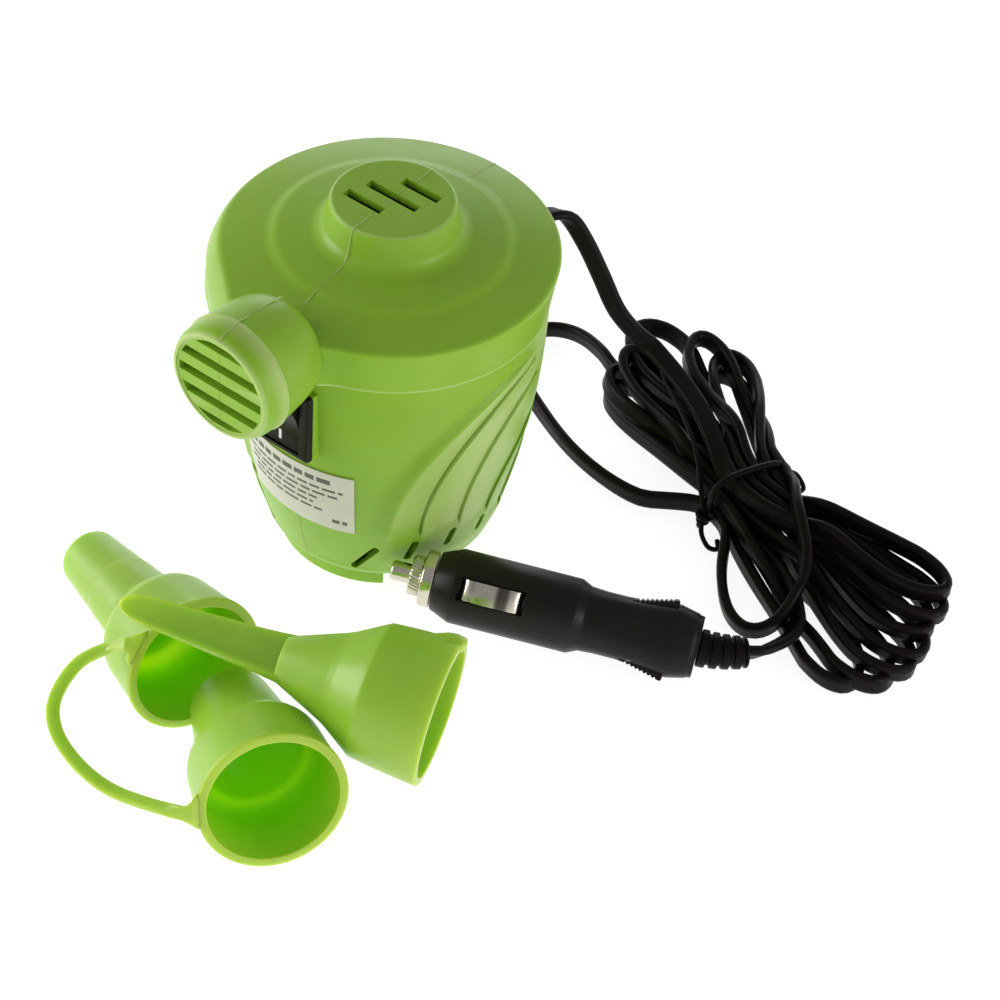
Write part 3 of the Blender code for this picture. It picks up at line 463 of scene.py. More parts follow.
# ---------------------------------------------------------------- cord
CORD_W, CORD_T = 6.0, 3.0                    # flat twin lead
TIE_AT, TIE_ACROSS = Vector((83.0, 67.2)), Vector((0.44, 0.898)).normalized()
TIE_ALONG = Vector((TIE_ACROSS.y, -TIE_ACROSS.x))
ROWS = (3.9, 10.3, 16.7)                     # heights of the three layers under the tie
LEAD = [(0, 66.35, 66), (0.4, 73, 66), (3.5, 79, 63), (9, 81, 55.5), (15, 82.4, 45),
        (21, 83.5, 34.5), (27.5, 86, 27.0), (34.5, 87.5, 23.0), (48, 83, 21), (62, 76, 19.5)]
LOOP = [(60, 77, 9.0), (42, 83, 8.5), (25, 88, 8.5), (10.6, 92.0, 7.5), (6, 95.2, 6), (-1, 97.6, 4.2),
        (-10, 94.5, 3.2), (-14.5, 87, 3.1), (-12, 77, 3.1), (-2, 69, 3.1), (9.4, 63.2, 3.1),
        (27.9, 54.2, 3.1), (47.4, 50.2, 3.2), (62, 50.2, 4), (73.5, 51.8, 6.5)]
CURL = [(80.3, 51.6, 7), (86.5, 46.6, 5), (94, 38.2, 3.3), (101.3, 29.1, 3.1), (109.6, 24.2, 3.1),
        (116.4, 28.2, 4), (119.5, 35.5, 8), (117.0, 45.0, 15.5), (110.5, 54.5, 20.5), (100, 61.0, 21.0)]
TAIL_IN = [(100, 53.0, 8.5), (110, 46.5, 8.5), (118.5, 39.5, 8.5), (122.2, 32.5, 9.0)]
# each end loop of the hank: its tip, its height there and the distance between its two strands
RIGHT_TIPS = [((163.0, 64.5), 17.0, 13.0), ((165.0, 58.5), 13.0, 14.0), ((164.0, 52.5), 9.5, 14.0),
              ((166.0, 44.0), 7.5, 15.0), ((165.0, 36.5), 5.0, 16.0), ((161.0, 28.5), 3.4, 16.0),
              ((153.0, 22.5), 3.2, 15.0)]
LEFT_TIPS = [((27.0, 117.0), 16.0, 13.0), ((37.0, 121.0), 10.5, 13.0), ((9.0, 109.5), 14.0, 18.0),
             ((11.5, 93.5), 15.5, 13.0), ((9.0, 87.5), 9.0, 13.0), ((10.0, 88.0), 3.4, 14.0),
             ((35.0, 118.0), 4.0, 13.0)]
# (across, row) of each strand under the tie, in the order the lead runs through
SLOTS = [(-6, 2), (2, 2), (10, 1), (-2, 2), (6, 2), (2, 1), (6, 1), (-6, 1), (10, 0), (-2, 1),
         (2, 0), (-10, 1), (-2, 0), (-10, 0), (6, 0), (-6, 0), (10, 2)]
LOWEST, WAIST_TOP, HANK_TOP = 3.05, 17.2, 24.0   # heights of the lead's centreline in the hank


def tie_point(across, row, shift=0.0):
    p = TIE_AT + TIE_ACROSS * across + TIE_ALONG * shift
    return Vector((p.x, p.y, ROWS[row]))


def lobe(start, end, tip, height, width):
    """Points of one end loop of the hank, from one strand under the tie to the next."""
    centre = Vector((TIE_AT.x, TIE_AT.y, 0))
    far = Vector((*tip, height))
    way = far - centre
    way.z = 0
    way.normalize()
    side = Vector((way.y, -way.x, 0))
    if (start - end).dot(side) < 0:
        side = -side
    reach = (Vector((*tip, 0)) - centre).length
    half = width / 2
    def at(part, off, z):
        p = centre + way * (reach * part) + side * off
        return Vector((p.x, p.y, z))
    rise = lambda z, t: z + (height - z) * t
    spread_in = (start - centre).dot(side), (end - centre).dot(side)
    return [at(0.30, spread_in[0] * 0.75 + half * 0.25, rise(start.z, 0.15)),
            at(0.60, half * 1.05, rise(start.z, 0.6)), at(0.82, half * 1.1, rise(start.z, 0.9)),
            at(0.955, half * 0.72, height), at(1.0, 0.0, height), at(0.955, -half * 0.72, height),
            at(0.82, -half * 1.1, rise(end.z, 0.9)), at(0.60, -half * 1.05, rise(end.z, 0.6)),
            at(0.30, spread_in[1] * 0.75 - half * 0.25, rise(end.z, 0.15))]


def cord_route():
    """The whole lead: out of the grommet, through the hank, round the free loops, to the plug."""
    route = [Vector(p) for p in LEAD]
    slots = [tie_point(*s) for s in SLOTS]
    def through(k, way):
        across, row = SLOTS[k]
        return [tie_point(across, row, -7 * way), tie_point(across, row, 7 * way)]
    route += through(0, 1)
    for turn, tip in enumerate(RIGHT_TIPS):
        k = 2 * turn
        route += lobe(slots[k], slots[k + 1], *tip)
        route += through(k + 1, -1)
        if turn < len(RIGHT_TIPS) - 1:
            route += lobe(slots[k + 1], slots[k + 2], *LEFT_TIPS[turn])
            route += through(k + 2, 1)
    route += [Vector(p) for p in LOOP + CURL]
    route += through(16, -1)
    route += lobe(slots[16], slots[15], *LEFT_TIPS[-1])
    route += through(15, 1)
    route += [Vector(p) for p in TAIL_IN]
    a, b = relief_point(RELIEF_END + 0.4), relief_point(RELIEF_END + 4.0)
    route += [Vector((122.4, 27.0, 9.0)), b, a]
    return route


def relaxed(points):
    """Pushes strands of the hank apart until they lie beside each other, on the floor or above it."""
    p = np.array([tuple(q) for q in points])
    n = len(p)
    index = np.arange(n)
    near_line = np.abs(index[:, None] - index[None, :]) < 9
    held = np.zeros(n, bool)
    held[:26] = held[-9:] = True
    across, length = np.array(TIE_ACROSS), np.array(TIE_ALONG)
    gap = CORD_T + 0.1
    for step in range(60):
        move = np.zeros_like(p)
        hits = np.ones(n)
        for lo in range(0, n, 400):
            d = p[lo:lo + 400, None, :] - p[None, :, :]
            d[..., 2] *= 0.52
            dist = np.sqrt((d ** 2).sum(-1)) + 1e-9
            close = (dist < gap) & ~near_line[lo:lo + 400]
            push = np.where(close, (gap - dist) / dist * 0.5, 0.0)
            m = (d * push[..., None]).sum(1)
            m[:, 2] /= 0.52
            move[lo:lo + 400] = m
            hits[lo:lo + 400] = np.maximum(1, close.sum(1) * 0.6)
        move /= hits[:, None]
        move[held] = 0
        p += np.clip(move, -1.2, 1.2)
        smooth = (np.roll(p, 1, 0) + np.roll(p, -1, 0)) / 2 - p
        smooth[0] = smooth[-1] = 0
        smooth[held] = 0
        p += smooth * (0.22 if step < 40 else 0.12)
        flat = p[:, :2] - np.array(TIE_AT)
        a, l = flat @ across, flat @ length
        waist = (np.abs(l) < 9) & (p[:, 2] < 22) & (np.abs(a) < 16)
        over = np.clip(np.abs(a) - 11.2, 0, None) * np.sign(a) * waist
        p[:, :2] -= over[:, None] * across
        top = np.where(waist, WAIST_TOP, HANK_TOP)
        free = ~held & (p[:, 2] < 40)
        p[:, 2] = np.where(free, np.clip(p[:, 2], LOWEST, top), p[:, 2])
    for step in range(110):
        before, after = np.roll(p, 1, 0), np.roll(p, -1, 0)
        bend = np.linalg.norm(before + after - 2 * p, axis=1)
        bend = bend / (np.linalg.norm(after - before, axis=1) / 2) ** 2
        sharp = np.convolve((bend > 1 / 7.0).astype(float), np.ones(7), "same") > 0
        sharp[:3] = sharp[-3:] = False
        p[sharp] += ((before + after) / 2 - p)[sharp] * 0.5
    p[:, 2] = np.maximum(p[:, 2], LOWEST)
    return even([Vector(q) for q in p], 1.7)


def width_axes(points):
    """Way the flat of the lead faces: level where it hangs from the pump, on edge in the hank."""
    axes, n = [], len(points)
    edge, flat = Vector((0, 0, 1)), Vector((0.93, 0.36, 0))
    for k, way in enumerate(ways(points)):
        way.normalize()
        t = ease((k - 55) / 30.0) if k < 200 else 1.0 - 0.55 * ease((k - (n - 26)) / 20.0)
        lean = 0.45 * noise.noise(Vector((k * 0.03, 3.1, 7.7)))
        axis = flat * (1 - t) + (edge + Vector((way.y, -way.x, 0)) * lean) * t
        axis -= way * axis.dot(way)
        axes.append((way, axis.normalized()))
    return axes


def twin_section():
    """Outline of the flat twin lead: two round cores side by side with a groove between."""
    r, half = CORD_T / 2, CORD_W / 2
    out = []
    for side in (1, -1):
        for k in range(7):
            a = radians(-112 + 224 * k / 6)
            out.append((side * (half - r + r * cos(a)), side * r * sin(a)))
    return out


def build_cord():
    points = relaxed(catmull(cord_route(), 2.6))
    section = twin_section()
    rings = []
    for p, (way, axis) in zip(points, width_axes(points)):
        third = way.cross(axis)
        rings.append([tuple(p + axis * u + third * v) for u, v in section])
    cord = make("lead", *loft(rings), "black_pvc", angle=60)
    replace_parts(cord, "cord_lead", "cord_loop", "cord_curl", "cord_tail", "cord_hank")
    length = sum((b - a).length for a, b in zip(points, points[1:])) * MM
    return cord, [tuple(q * MM for q in p) for p in points], length


def build_tie():
    """Wire tie round the waist of the hank, with its twisted knot and loose ends."""
    def ring_point(turn):
        u, v = cos(turn), sin(turn)
        shape = (abs(u) ** 3 + abs(v) ** 3) ** (-1 / 3)
        p = TIE_AT + TIE_ACROSS * (13.3 * u * shape)
        return Vector((p.x, p.y, 10.7 + 9.7 * v * shape))
    loop = [ring_point(a) for a in turns(72)]
    rings = []
    for k, p in enumerate(loop):
        way = (loop[(k + 1) % 72] - loop[k - 1]).normalized()
        side = Vector((TIE_ALONG.x, TIE_ALONG.y, 0))
        up = way.cross(side)
        rings.append([tuple(p + side * cos(a) * 1.15 + up * sin(a) * 0.7) for a in turns(10)])
    band = make("tie_band", *loft(rings, closed=True), "black_pvc", angle=60)
    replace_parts(band, "cable_tie")
    knot = [Vector((76.8 + cos(t * 1.9) * 2.2 * (1 - t / 14), 53.6 + sin(t * 1.9) * 1.7,
                    9.0 - t * 0.52)) for t in (k * 0.35 for k in range(27))]
    tails = {"tie_knot": knot,
             "tie_end_long": [(76.5, 54.2, 8), (73, 57, 11.5), (66, 64, 17), (57, 71, 19.5), (47, 78, 20),
                              (41, 82.5, 19.5), (37.5, 86.5, 19)],
             "tie_end_curl": [(76.6, 53.0, 6.0), (79, 50, 4.0), (82.5, 48.6, 2.2), (84.5, 50.6, 1.2),
                              (82.5, 53.4, 1.2)],
             "tie_fold": [(88.2, 78.0, 15.0), (90.5, 80.5, 13.0), (94.0, 79.5, 10.5), (93.0, 76.6, 11.0),
                          (89.0, 76.8, 14.0)]}
    for name, route in tails.items():
        make(name, *wire(catmull(route, 0.8), lambda k: 0.75), "black_pvc", angle=60)


# ---------------------------------------------------------------- casing
LID_Z, LID_TOP_Z, BODY_LOW, BELLY_Z = 86.0, 101.0, 2.0, 10.0
BASE_R, BELLY_R, NECK_R = 26.5, 33.3, 42.6
NOZZLE_Z, NOZZLE_FACE, GRILLE_R = 95.9, 68.8, 13.7
SWITCH_Z, SWITCH_PAD_Y = 69.0, -43.3
WALL, VENT_WALL = 2.2, 4.6
FOOT_OUT, FOOT_IN, FOOT_HALF_ANGLE = 29.3, 24.6, 41.0
SLOT_PITCH, SLOT_HALF = 6.3, 1.45            # the nozzle's grille
# the front edge of the wing and its four grooves: angle and height at the foot and at the top
WING_LINES = [(-49.0, 23.0, 13.0, 80.0), (-34.5, 28.5, 15.5, 76.5), (-16.8, 29.5, 20.5, 68.5),
              (0.5, 26.5, 49.0, 52.5), (18.0, 22.0, 60.0, 45.0)]
SCREW_SPOTS = [(29.0, 26.0), (-29.0, 26.0), (30.5, 70.5), (-30.0, 49.0)]
VENTS = [(-53.0, 21.0, -64.0, 10.0), (-36.3, 24.0, -39.5, 16.0), (-19.1, 25.6, -21.3, 18.8),
         (-2.0, 23.4, -3.3, 18.0), (15.0, 22.0, 14.6, 17.5)]


def body_radius(z):
    if z < BELLY_Z:
        t = clamp((z - BODY_LOW) / (BELLY_Z - BODY_LOW))
        return BASE_R + (BELLY_R - BASE_R) * sin(t * pi / 2)
    t = clamp((LID_Z - z) / (LID_Z - BELLY_Z))
    return BELLY_R + (NECK_R - BELLY_R) * (1 - t ** 2.2)


def line_angle(k, z):
    low, low_z, top, top_z = WING_LINES[k]
    t = clamp((z - low_z) / (top_z - low_z))
    return low + (top - low) * (1 - sqrt(1 - t * t))


def scale_height(k, u, z):
    """Height of the wing's surface across band k, which falls from its front edge to the next groove."""
    raise_all = ease((z - 7.0) / 9.0) * ease((86.0 - z) / 5.0)
    if k == 4:
        return raise_all * 0.6 * (1 - ease(u))
    low_z, top_z = WING_LINES[k + 1][1], WING_LINES[k + 1][3]
    deep = ease((z - low_z + 3.0) / 3.0) * ease((top_z + 4 - z) / 6.0)
    front = (1.15, 1.15, 0.8, 0.6)[k]
    return raise_all * (0.75 * (1 - deep) + (front - (front + 0.1) * u) * deep)


def body_ring(z):
    """One ring of the body; its points follow the wing's lines, and the left mirrors the right."""
    radius = body_radius(z)
    right = []
    first = line_angle(0, z)
    for k in range(36):
        u = k / 36.0
        angle = -90.0 + (first + 90.0) * u
        near = radians(first - angle) * radius
        right.append((angle, scale_height(0, 0.0, z) * (1 - ease(near / 6.5)) ** 1.3))
    last = max(line_angle(4, z) + 2.0, 72.0)
    for k in range(4):
        a, b = line_angle(k, z), line_angle(k + 1, z)
        wide = max(0.4, radians(b - a) * radius)
        notch = min(0.5, 0.55 / wide)
        low_z, top_z = WING_LINES[k + 1][1], WING_LINES[k + 1][3]
        deep = ease((z - low_z + 1.5) / 1.5) * ease((top_z - 1 - z) / 5.0)
        foot, crest = scale_height(k, 1.0 - notch, z), scale_height(k + 1, 0.0, z)
        for i in range(18):
            u = (1 - notch) * i / 18.0
            right.append((a + (b - a) * u, scale_height(k, u, z)))
        for i in range(8):
            t = i / 8.0
            h = foot + (crest - foot) * ease((t - 0.45) / 0.5)
            h -= 0.4 * deep * ease(t / 0.35) * (1 - ease((t - 0.5) / 0.3))
            right.append((a + (b - a) * ((1 - notch) + notch * t), h))
    a = line_angle(4, z)
    right += [(a + (last - a) * (i / 26.0), scale_height(4, i / 26.0, z)) for i in range(26)]
    for k in range(9):
        right.append((last + (90.0 - last) * k / 9.0, 0.0))
    left = [(180.0 - a, h) for a, h in reversed(right[1:])]
    return [tuple(polar(radius + h, a, z)) for a, h in right + [(90.0, 0.0)] + left]


def lid_radius(degrees, radius, scroll=0.0):
    """Lid outline: a circle that swells into the scroll and runs straight into the nozzle's left."""
    turn = (degrees + 130.5 + 180) % 360 - 180
    if -70 < turn < 42:
        radius += scroll * ease((turn + 70) / 45.0) * ease((42 - turn) / 20.0)
    if 0 < turn < 42:
        return radius / cos(radians(turn))
    right = degrees + 66
    if -12 < right < 0:
        return radius + 3.0 * (right / 12.0) ** 2
    return radius


def wrap(z, radius_at, n=288):
    return [tuple(polar(radius_at(360.0 * k / n - 180.0), 360.0 * k / n - 180.0, z)) for k in range(n)]


def nozzle_pose():
    return along((0, 0, NOZZLE_Z), (0, -1, 0))


# height, radius and swell towards the nozzle of each ring up the lid's side
LID_SIDE = [(LID_Z, 42.9, 6.0), (LID_Z + 0.12, 43.3, 6.0), (LID_Z + 0.5, 43.55, 6.0),
            (LID_Z + 1.2, 43.55, 5.9), (90.0, 44.0, 5.3), (94.0, 44.5, 4.6), (98.0, 45.1, 2.4),
            (99.6, 45.35, 1.2), (100.3, 45.3, 0.7), (100.75, 44.95, 0.3), (LID_TOP_Z, 44.4, 0.0)]


def lid_rings():
    rings = [wrap(z, lambda a, r=r, swell=swell: lid_radius(a, r, swell)) for z, r, swell in LID_SIDE]
    top = rounded_profile([(44.4, LID_TOP_Z), (33.2, 102.7), (30.8, 104.1), (20.8, 105.3), (18.3, 107.2),
                           (16.9, 114.9), (16.3, 115.5), (15.4, 115.5)], [1.4, 1.3, 1.6, 1.6, 0.6, 0.4], 5)
    rings += [wrap(z, lambda a, r=r: r) for r, z in top[1:]]
    return rings


def casing_outer():
    heights = [BODY_LOW, 2.5, 3.2, 4.2, 5.5, 7.0] + [8.5 + 0.8 * k for k in range(101)]
    shell = tool(loft([body_ring(z) for z in heights]))
    nozzle = rounded_profile([(0.5, 40.0), (9.5, 41.0), (14.2, 44.8), (15.9, 51.0), (16.4, 56.0),
                              (16.7, 60.7), (17.15, 61.5), (16.75, 62.1), (16.35, 66.8),
                              (15.3, NOZZLE_FACE), (14.4, NOZZLE_FACE)],
                             [4.0, 4.0, 4.0, 2.0, 0.2, 0.15, 0.2, 0.8, 0.8], 6)
    parts = [tool(loft(lid_rings())), tool(turned(nozzle, 128), nozzle_pose()),
             tool(prism(rounded(9.8, 2.6, 0.5), 57.6, 80.4), Matrix.Translation((0, SWITCH_PAD_Y + 2.6, 0)))]
    for middle in (-90.0, 90.0):
        arc = [middle - FOOT_HALF_ANGLE + FOOT_HALF_ANGLE * k / 16 for k in range(33)]
        outline = [polar(FOOT_OUT, a)[:2] for a in arc] + [polar(FOOT_IN, a)[:2] for a in reversed(arc)]
        parts.append(tool(prism(outline, 0.0, 4.0)))
    return combine(shell, parts, "UNION")


def casing_hollow():
    inner = [(24.0, 4.4)] + [(body_radius(z) - WALL, z) for z in (8, 11, 13)]
    inner += [(body_radius(z) - VENT_WALL, z) for z in (15, 20, 27)]
    inner += [(body_radius(z) - WALL, z) for z in (29, 32, 39, 48, 56, 66, 77.2)]
    inner += [(37.0, 77.4), (37.0, 80.1), (40.25, 80.2), (40.6, 84.0), (41.0, 88.0), (41.4, 98.6),
              (30.0, 101.4), (18.2, 103.4), (14.3, 104.6), (14.3, 113.2)]
    bore = [(0.5, 46.0), (8.0, 47.0), (11.5, 49.5), (13.3, 52.0), (GRILLE_R, 56.0), (13.9, 60.0),
            (GRILLE_R, 64.8)]
    recess = [(14.4, 68.45), (14.4, 75.0)]
    return [tool(turned(inner, 96)), tool(turned(bore, 96), nozzle_pose()),
            tool(turned(recess, 128), nozzle_pose()), tool(block(-9, 9, -54, -34, 85.6, 98.5))]


def casing_cuts():
    cutters = []
    for k in range(-2, 3):
        low, high = k * SLOT_PITCH - SLOT_HALF, k * SLOT_PITCH + SLOT_HALF
        low, high = max(low, 0.3 - GRILLE_R), min(high, GRILLE_R - 0.3)
        levels = [low + (high - low) * i / 6 for i in range(7)]
        half = [sqrt(GRILLE_R ** 2 - y * y) - 0.1 for y in levels]
        outline = list(zip(half, levels)) + [(-x, y) for x, y in reversed(list(zip(half, levels)))]
        cutters.append(tool(prism(outline, 62.0, 70.0), nozzle_pose()))
    for row, (x0, x1) in enumerate([(-11.3, 1.2), (-9.2, 7.6), (-2.9, 9.6)]):
        y = 0.7 + (row - 1) * 6.7
        cutters.append(tool(block(x0, x1, y - 1.5, y + 1.5, 110.0, 118.0)))
    for mirror in (1, -1):
        for top_deg, top_z, low_deg, low_z in VENTS:
            top = polar(body_radius(top_z), top_deg, top_z)
            low = polar(body_radius(low_z), low_deg, low_z)
            top.x, low.x = mirror * top.x, mirror * low.x
            middle = (top + low) / 2
            pose = along(middle, (middle.x, middle.y, 0), top - low)
            reach = (top - low).length / 2
            cutters.append(tool(prism(rounded(1.15, reach + 0.3, 1.1, 6), -5.0, 5.0), pose))
    hole = [(3.0, -60), (3.0, -9.0), (1.55, -8.0), (1.55, 9.0)]
    cutters += [tool(turned(hole, 32), along((0, y, z), (1, 0, 0))) for y, z in SCREW_SPOTS]
    cutters.append(tool(block(-8.4, 8.4, -50, -36, SWITCH_Z - 10.4, SWITCH_Z + 10.4)))
    cutters.append(tool(turned([(4.3, 34), (4.3, 50)], 48), along((0, 0, GROMMET_Z), (0, 1, 0))))
    return cutters


def screw_bosses():
    bosses = []
    for y, z in SCREW_SPOTS:
        boss = tool(turned([(3.6, -60), (3.6, 60)], 24), along((0, y, z), (1, 0, 0)))
        inside = tool(turned([(body_radius(h) - WALL / 2, h) for h in (10, 20, 30, 42, 56, 70, 84)], 60))
        bosses.append(combine(boss, [inside], "INTERSECT"))
    return bosses


def wing_painted_light(x, y, z):
    """How much painted sheen, painted shade and painted highlight along the ridges the wing gets at a point
    near the body's surface.
    """
    r = hypot(x, y)
    if not 14.0 < z < 84.0 or abs(r - body_radius(z) - 0.5) >= 1.7:
        return 0.0, 0.0, 0.0
    angle = in_degrees(atan2(y, abs(x)))
    edges = [radians(angle - line_angle(k, z)) * r for k in range(5)]
    inside = edges[0]
    low = 24.0 if edges[1] < 0 else 17.0
    # painted sheen: the wing's bands are lightened as if they reflected the bright side of the studio
    painted_sheen = ease(inside / 0.8) * ease((36.0 - inside) / 12.0) * ease((z - low) / 14.0) * ease((84.0 - z) / 4.0)
    # painted shade in the soft hollow just in front of the wing's front edge
    dark = 0.3 * ease((inside + 9.0) / 8.0) * (1 - ease((inside + 0.6) / 0.8)) * ease((z - 16.0) / 16.0)
    rim = 0.0
    # painted shade along each groove, and a painted highlight on the ridge just before it
    for off, line in zip(edges[1:], WING_LINES[1:]):
        if line[1] - 1.0 < z < line[3] - 2.0:
            dark = max(dark, 0.85 * exp(-((off + 0.26) / 0.17) ** 2))
            rim = max(rim, 0.7 * exp(-((off + 0.8) / 0.25) ** 2))
    return painted_sheen, dark, rim


def paint_casing_light_and_shade(ob):
    """Vertex weights for the green: painted shade darkens the wings' grooves and the hollow before the wing,
    painted sheen lightens the wing's bands, and painted highlights light the ridges and the thin moulded
    edges.
    """
    groove, edge = [], []
    for v in ob.data.vertices:
        x, y, z = v.co / MM
        r, out, ahead = hypot(x, y), hypot(x, z - NOZZLE_Z), -y
        painted_sheen, dark, rim = wing_painted_light(x, y, z)
        lit = max(0.65 * painted_sheen, rim)
        # painted highlights on the lid's lower edge, the boss's top rim, the nozzle's ring and the rim of its
        # face
        if r > 43.2 and LID_Z - 0.1 < z < LID_Z + 0.9 and ahead < 44.0:
            lit = 1.0
        elif z > 115.2 and 15.9 < r < 17.2:
            lit = 0.6
        elif 61.2 < ahead < 62.3 and out > 16.6 or ahead > 68.2 and out > 14.3:
            lit = 0.8
        groove.append(dark)
        edge.append(lit)
    # groove carries the painted shade, edge the painted highlights and sheen
    weigh(ob, "groove", groove)
    weigh(ob, "edge", edge)


def build_casing():
    shell = combine(casing_outer(), casing_hollow())
    shell = combine(shell, screw_bosses(), "UNION")
    shell = combine(shell, casing_cuts())
    halves = (("shell_left", "case_left", -1), ("shell_right", "case_right", 1))
    for half in split_in_two(shell, halves, 0.04, (-90, 90, -10, 130), "case_green", 32.0):
        paint_casing_light_and_shade(half)
    seam()


def seam():
    """Fine raised moulding line where the two halves meet, over the lid, the nozzle and the body."""
    lid = [(44.9, 100.75), (44.4, 101.0), (34.2, 102.6), (30.6, 103.9), (21.5, 105.3), (18.9, 107.4),
           (16.9, 114.9), (16.3, 115.5)]
    dome = [(-43.5, 103.2), (-44.6, 110.2), (-47.0, 111.0), (-51.0, 111.8), (-56.0, 112.1), (-61.4, 113.0),
            (-62.3, 112.55), (-66.8, 112.2), (-68.3, 111.4)]
    runs = {"seam_back": [(45.3, 99.8)] + lid + [(9.3, 115.5)], "seam_boss_front": [(-9.1, 115.5)] +
            [(-r, z) for r, z in reversed(lid) if r < 44] + [(-41.0, 101.5)], "seam_nozzle": dome,
            "seam_boss_middle": [(-0.8, 115.5), (-4.3, 115.5)],
            "seam_lower_back": [(body_radius(z), z) for z in (84, 76, 73)],
            "seam_back_foot": [(body_radius(z), z) for z in (59, 50, 40, 30, 20, 12, 8, 5, 3)],
            "seam_front_foot": [(-body_radius(z), z) for z in (26, 20, 14, 10, 7, 5, 3)]}
    for name, run in runs.items():
        fat = lambda k: 0.15 + 0.07 * noise.noise(Vector((k * 0.4, len(run), 0.5)))
        points = catmull([(0, y, z) for y, z in run], 1.2)
        line = make(name, *wire(points, fat, (1, 0, 0)), "case_green", angle=60)
        # painted highlight: the whole seam line is lightened through the edge weight
        weigh(line, "edge", [0.9] * len(line.data.vertices))


def build_label():
    """Plain sticker wrapped round the body, with ragged grey bars in place of its print."""
    mat, nt, shader = new_material("sticker", (0.66, 0.64, 0.55), 0.42)
    bumps(nt, shader, noise_node(nt, 500.0, 2.0), 0.05, 0.00005)
    shades = [(0.3, (0.63, 0.61, 0.52)), (0.7, (0.69, 0.67, 0.58))]
    nt.links.new(ramp_node(nt, noise_node(nt, 60.0, 3.0), shades), shader.inputs["Base Color"])
    z_levels = [27.5 + 24.0 * k / 12 for k in range(13)]
    degrees = [-117.5 + 55.0 * k / 48 for k in range(49)]
    rings = []
    for z in z_levels:
        r = body_radius(z)
        rings.append([tuple(polar(r + 0.5, a, z)) for a in degrees]
                     + [tuple(polar(r + 0.25, a, z)) for a in reversed(degrees)])
    verts, faces = loft(rings, caps=False)
    n, last = len(rings[0]), (len(rings) - 1) * len(rings[0])
    for k in range(48):
        faces.append((k, k + 1, n - 2 - k, n - 1 - k))
        faces.append((last + k, last + n - 1 - k, last + n - 2 - k, last + k + 1))
    sheet = make("sticker", verts, faces, mat, slot="white_paper")
    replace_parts(sheet, "label")
    ink = plastic("ink_grey", (0.10, 0.10, 0.09), 0.5, 0.2)
    # height, thickness and the angles between which each row of print runs
    bars = [(48.0, 1.9, -112, -70), (44.6, 0.9, -114, -67), (42.2, 0.9, -113, -69), (39.8, 0.9, -114, -78),
            (37.4, 0.9, -112, -80), (35.0, 0.9, -113, -76), (31.5, 1.5, -72, -65.5)]
    for k, (z, tall, left, right) in enumerate(bars):
        at, i = left, 0
        while at < right - 1:
            wide = min(right - at, 3.0 + 3.2 * abs(noise.noise(Vector((k * 1.7, i * 0.9, 2.2)))) * 2)
            steps = [at + wide * j / 4 for j in range(5)]
            ring = lambda zz: ([tuple(polar(body_radius(zz) + 0.53, a, zz)) for a in steps]
                               + [tuple(polar(body_radius(zz) + 0.45, a, zz)) for a in reversed(steps)])
            make(f"print_bar_{k}_{i}", *loft([ring(z - tall / 2), ring(z + tall / 2)]), ink,
                 slot="white_paper")
            at += wide + 1.1
            i += 1


# ---------------------------------------------------------------- switch
ROCKER_TILT, ROCKER_OUT = 12.0, 43.55        # degrees at rest; how far out its pin axis is
GROMMET_Z = 66.0


def build_switch():
    front = -(SWITCH_PAD_Y - 0.15)
    pose = along((0, 0, SWITCH_Z), (0, -1, 0))
    shapes = [(8.0, 10.0, 0.8, 29.0), (8.0, 10.0, 0.8, front), (10.0, 11.5, 1.0, front),
              (10.0, 11.5, 1.0, front + 1.2), (9.85, 11.35, 1.0, front + 1.6), (9.5, 11.0, 1.0, front + 1.9),
              (9.0, 10.5, 1.0, front + 2.0)]
    body = tool(loft([[(x, y, z) for x, y in rounded(hx, hy, r)] for hx, hy, r, z in shapes]), pose)
    combine(body, [tool(prism(rounded(6.9, 9.8, 0.6), 36.2, 50.0), pose)])
    finish_solid(body, "switch_bezel", "black_plastic")
    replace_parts(body, "switch_body")
    face = lambda y: 1.7 + 1.6 * (abs(y) / 9.0) ** 1.7
    curve = [(y, face(y)) for y in (-9.0 + 18.0 * k / 14 for k in range(15))]
    outline = curve + [(8.9, 0.4), (6.6, -2.2), (0.0, -5.0), (-6.6, -2.2), (-8.9, 0.4)]
    turn = radians(ROCKER_TILT)
    def tilt(y, z):
        return y * cos(turn) - z * sin(turn), y * sin(turn) + z * cos(turn)
    def mark(x, y, lift):
        across, out = tilt(y, face(y) + lift)
        return x, across, ROCKER_OUT + out
    tilted = [tilt(y, z) for y, z in outline]
    sides = [(-6.5, 0.94), (-6.3, 1.0), (6.3, 1.0), (6.5, 0.94)]
    rings = [[(x, y * s, ROCKER_OUT + z * s) for y, z in tilted] for x, s in sides]
    rocker = make("rocker", *loft(rings), "black_plastic", pose, body="rocker")
    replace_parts(rocker, "switch_rocker")
    ink = plastic("ink_white", (0.8, 0.8, 0.78), 0.45, 0.05)
    bar = [[mark(x, y, lift) for x, lift in ((-0.45, 0.06), (0.45, 0.06), (0.45, -0.1), (-0.45, -0.1))]
           for y in (-4.2, -5.8, -7.4)]
    make("rocker_bar", *loft(bar), ink, pose, slot="black_plastic", body="rocker")
    ring = [[mark(r * sin(a), 6.0 + r * cos(a), lift)
             for r, lift in ((1.5, 0.06), (1.0, 0.06), (1.0, -0.1), (1.5, -0.1))] for a in turns(24)]
    make("rocker_ring", *loft(ring, closed=True), ink, pose, slot="black_plastic", body="rocker")


def build_grommet():
    profile = [(3.9, 36.5), (6.4, 36.8), (6.4, 38.8), (4.0, 39.2), (4.0, 43.4), (6.4, 43.7), (6.4, 45.6),
               (5.2, 46.6), (3.6, 65.5), (3.3, 66.0)]
    shape = turned(rounded_profile(profile, [0.3] * 8, 3), 48)
    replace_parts(make("grommet", *shape, "black_pvc", along((0, 0, GROMMET_Z), (0, 1, 0))), "cord_grommet")


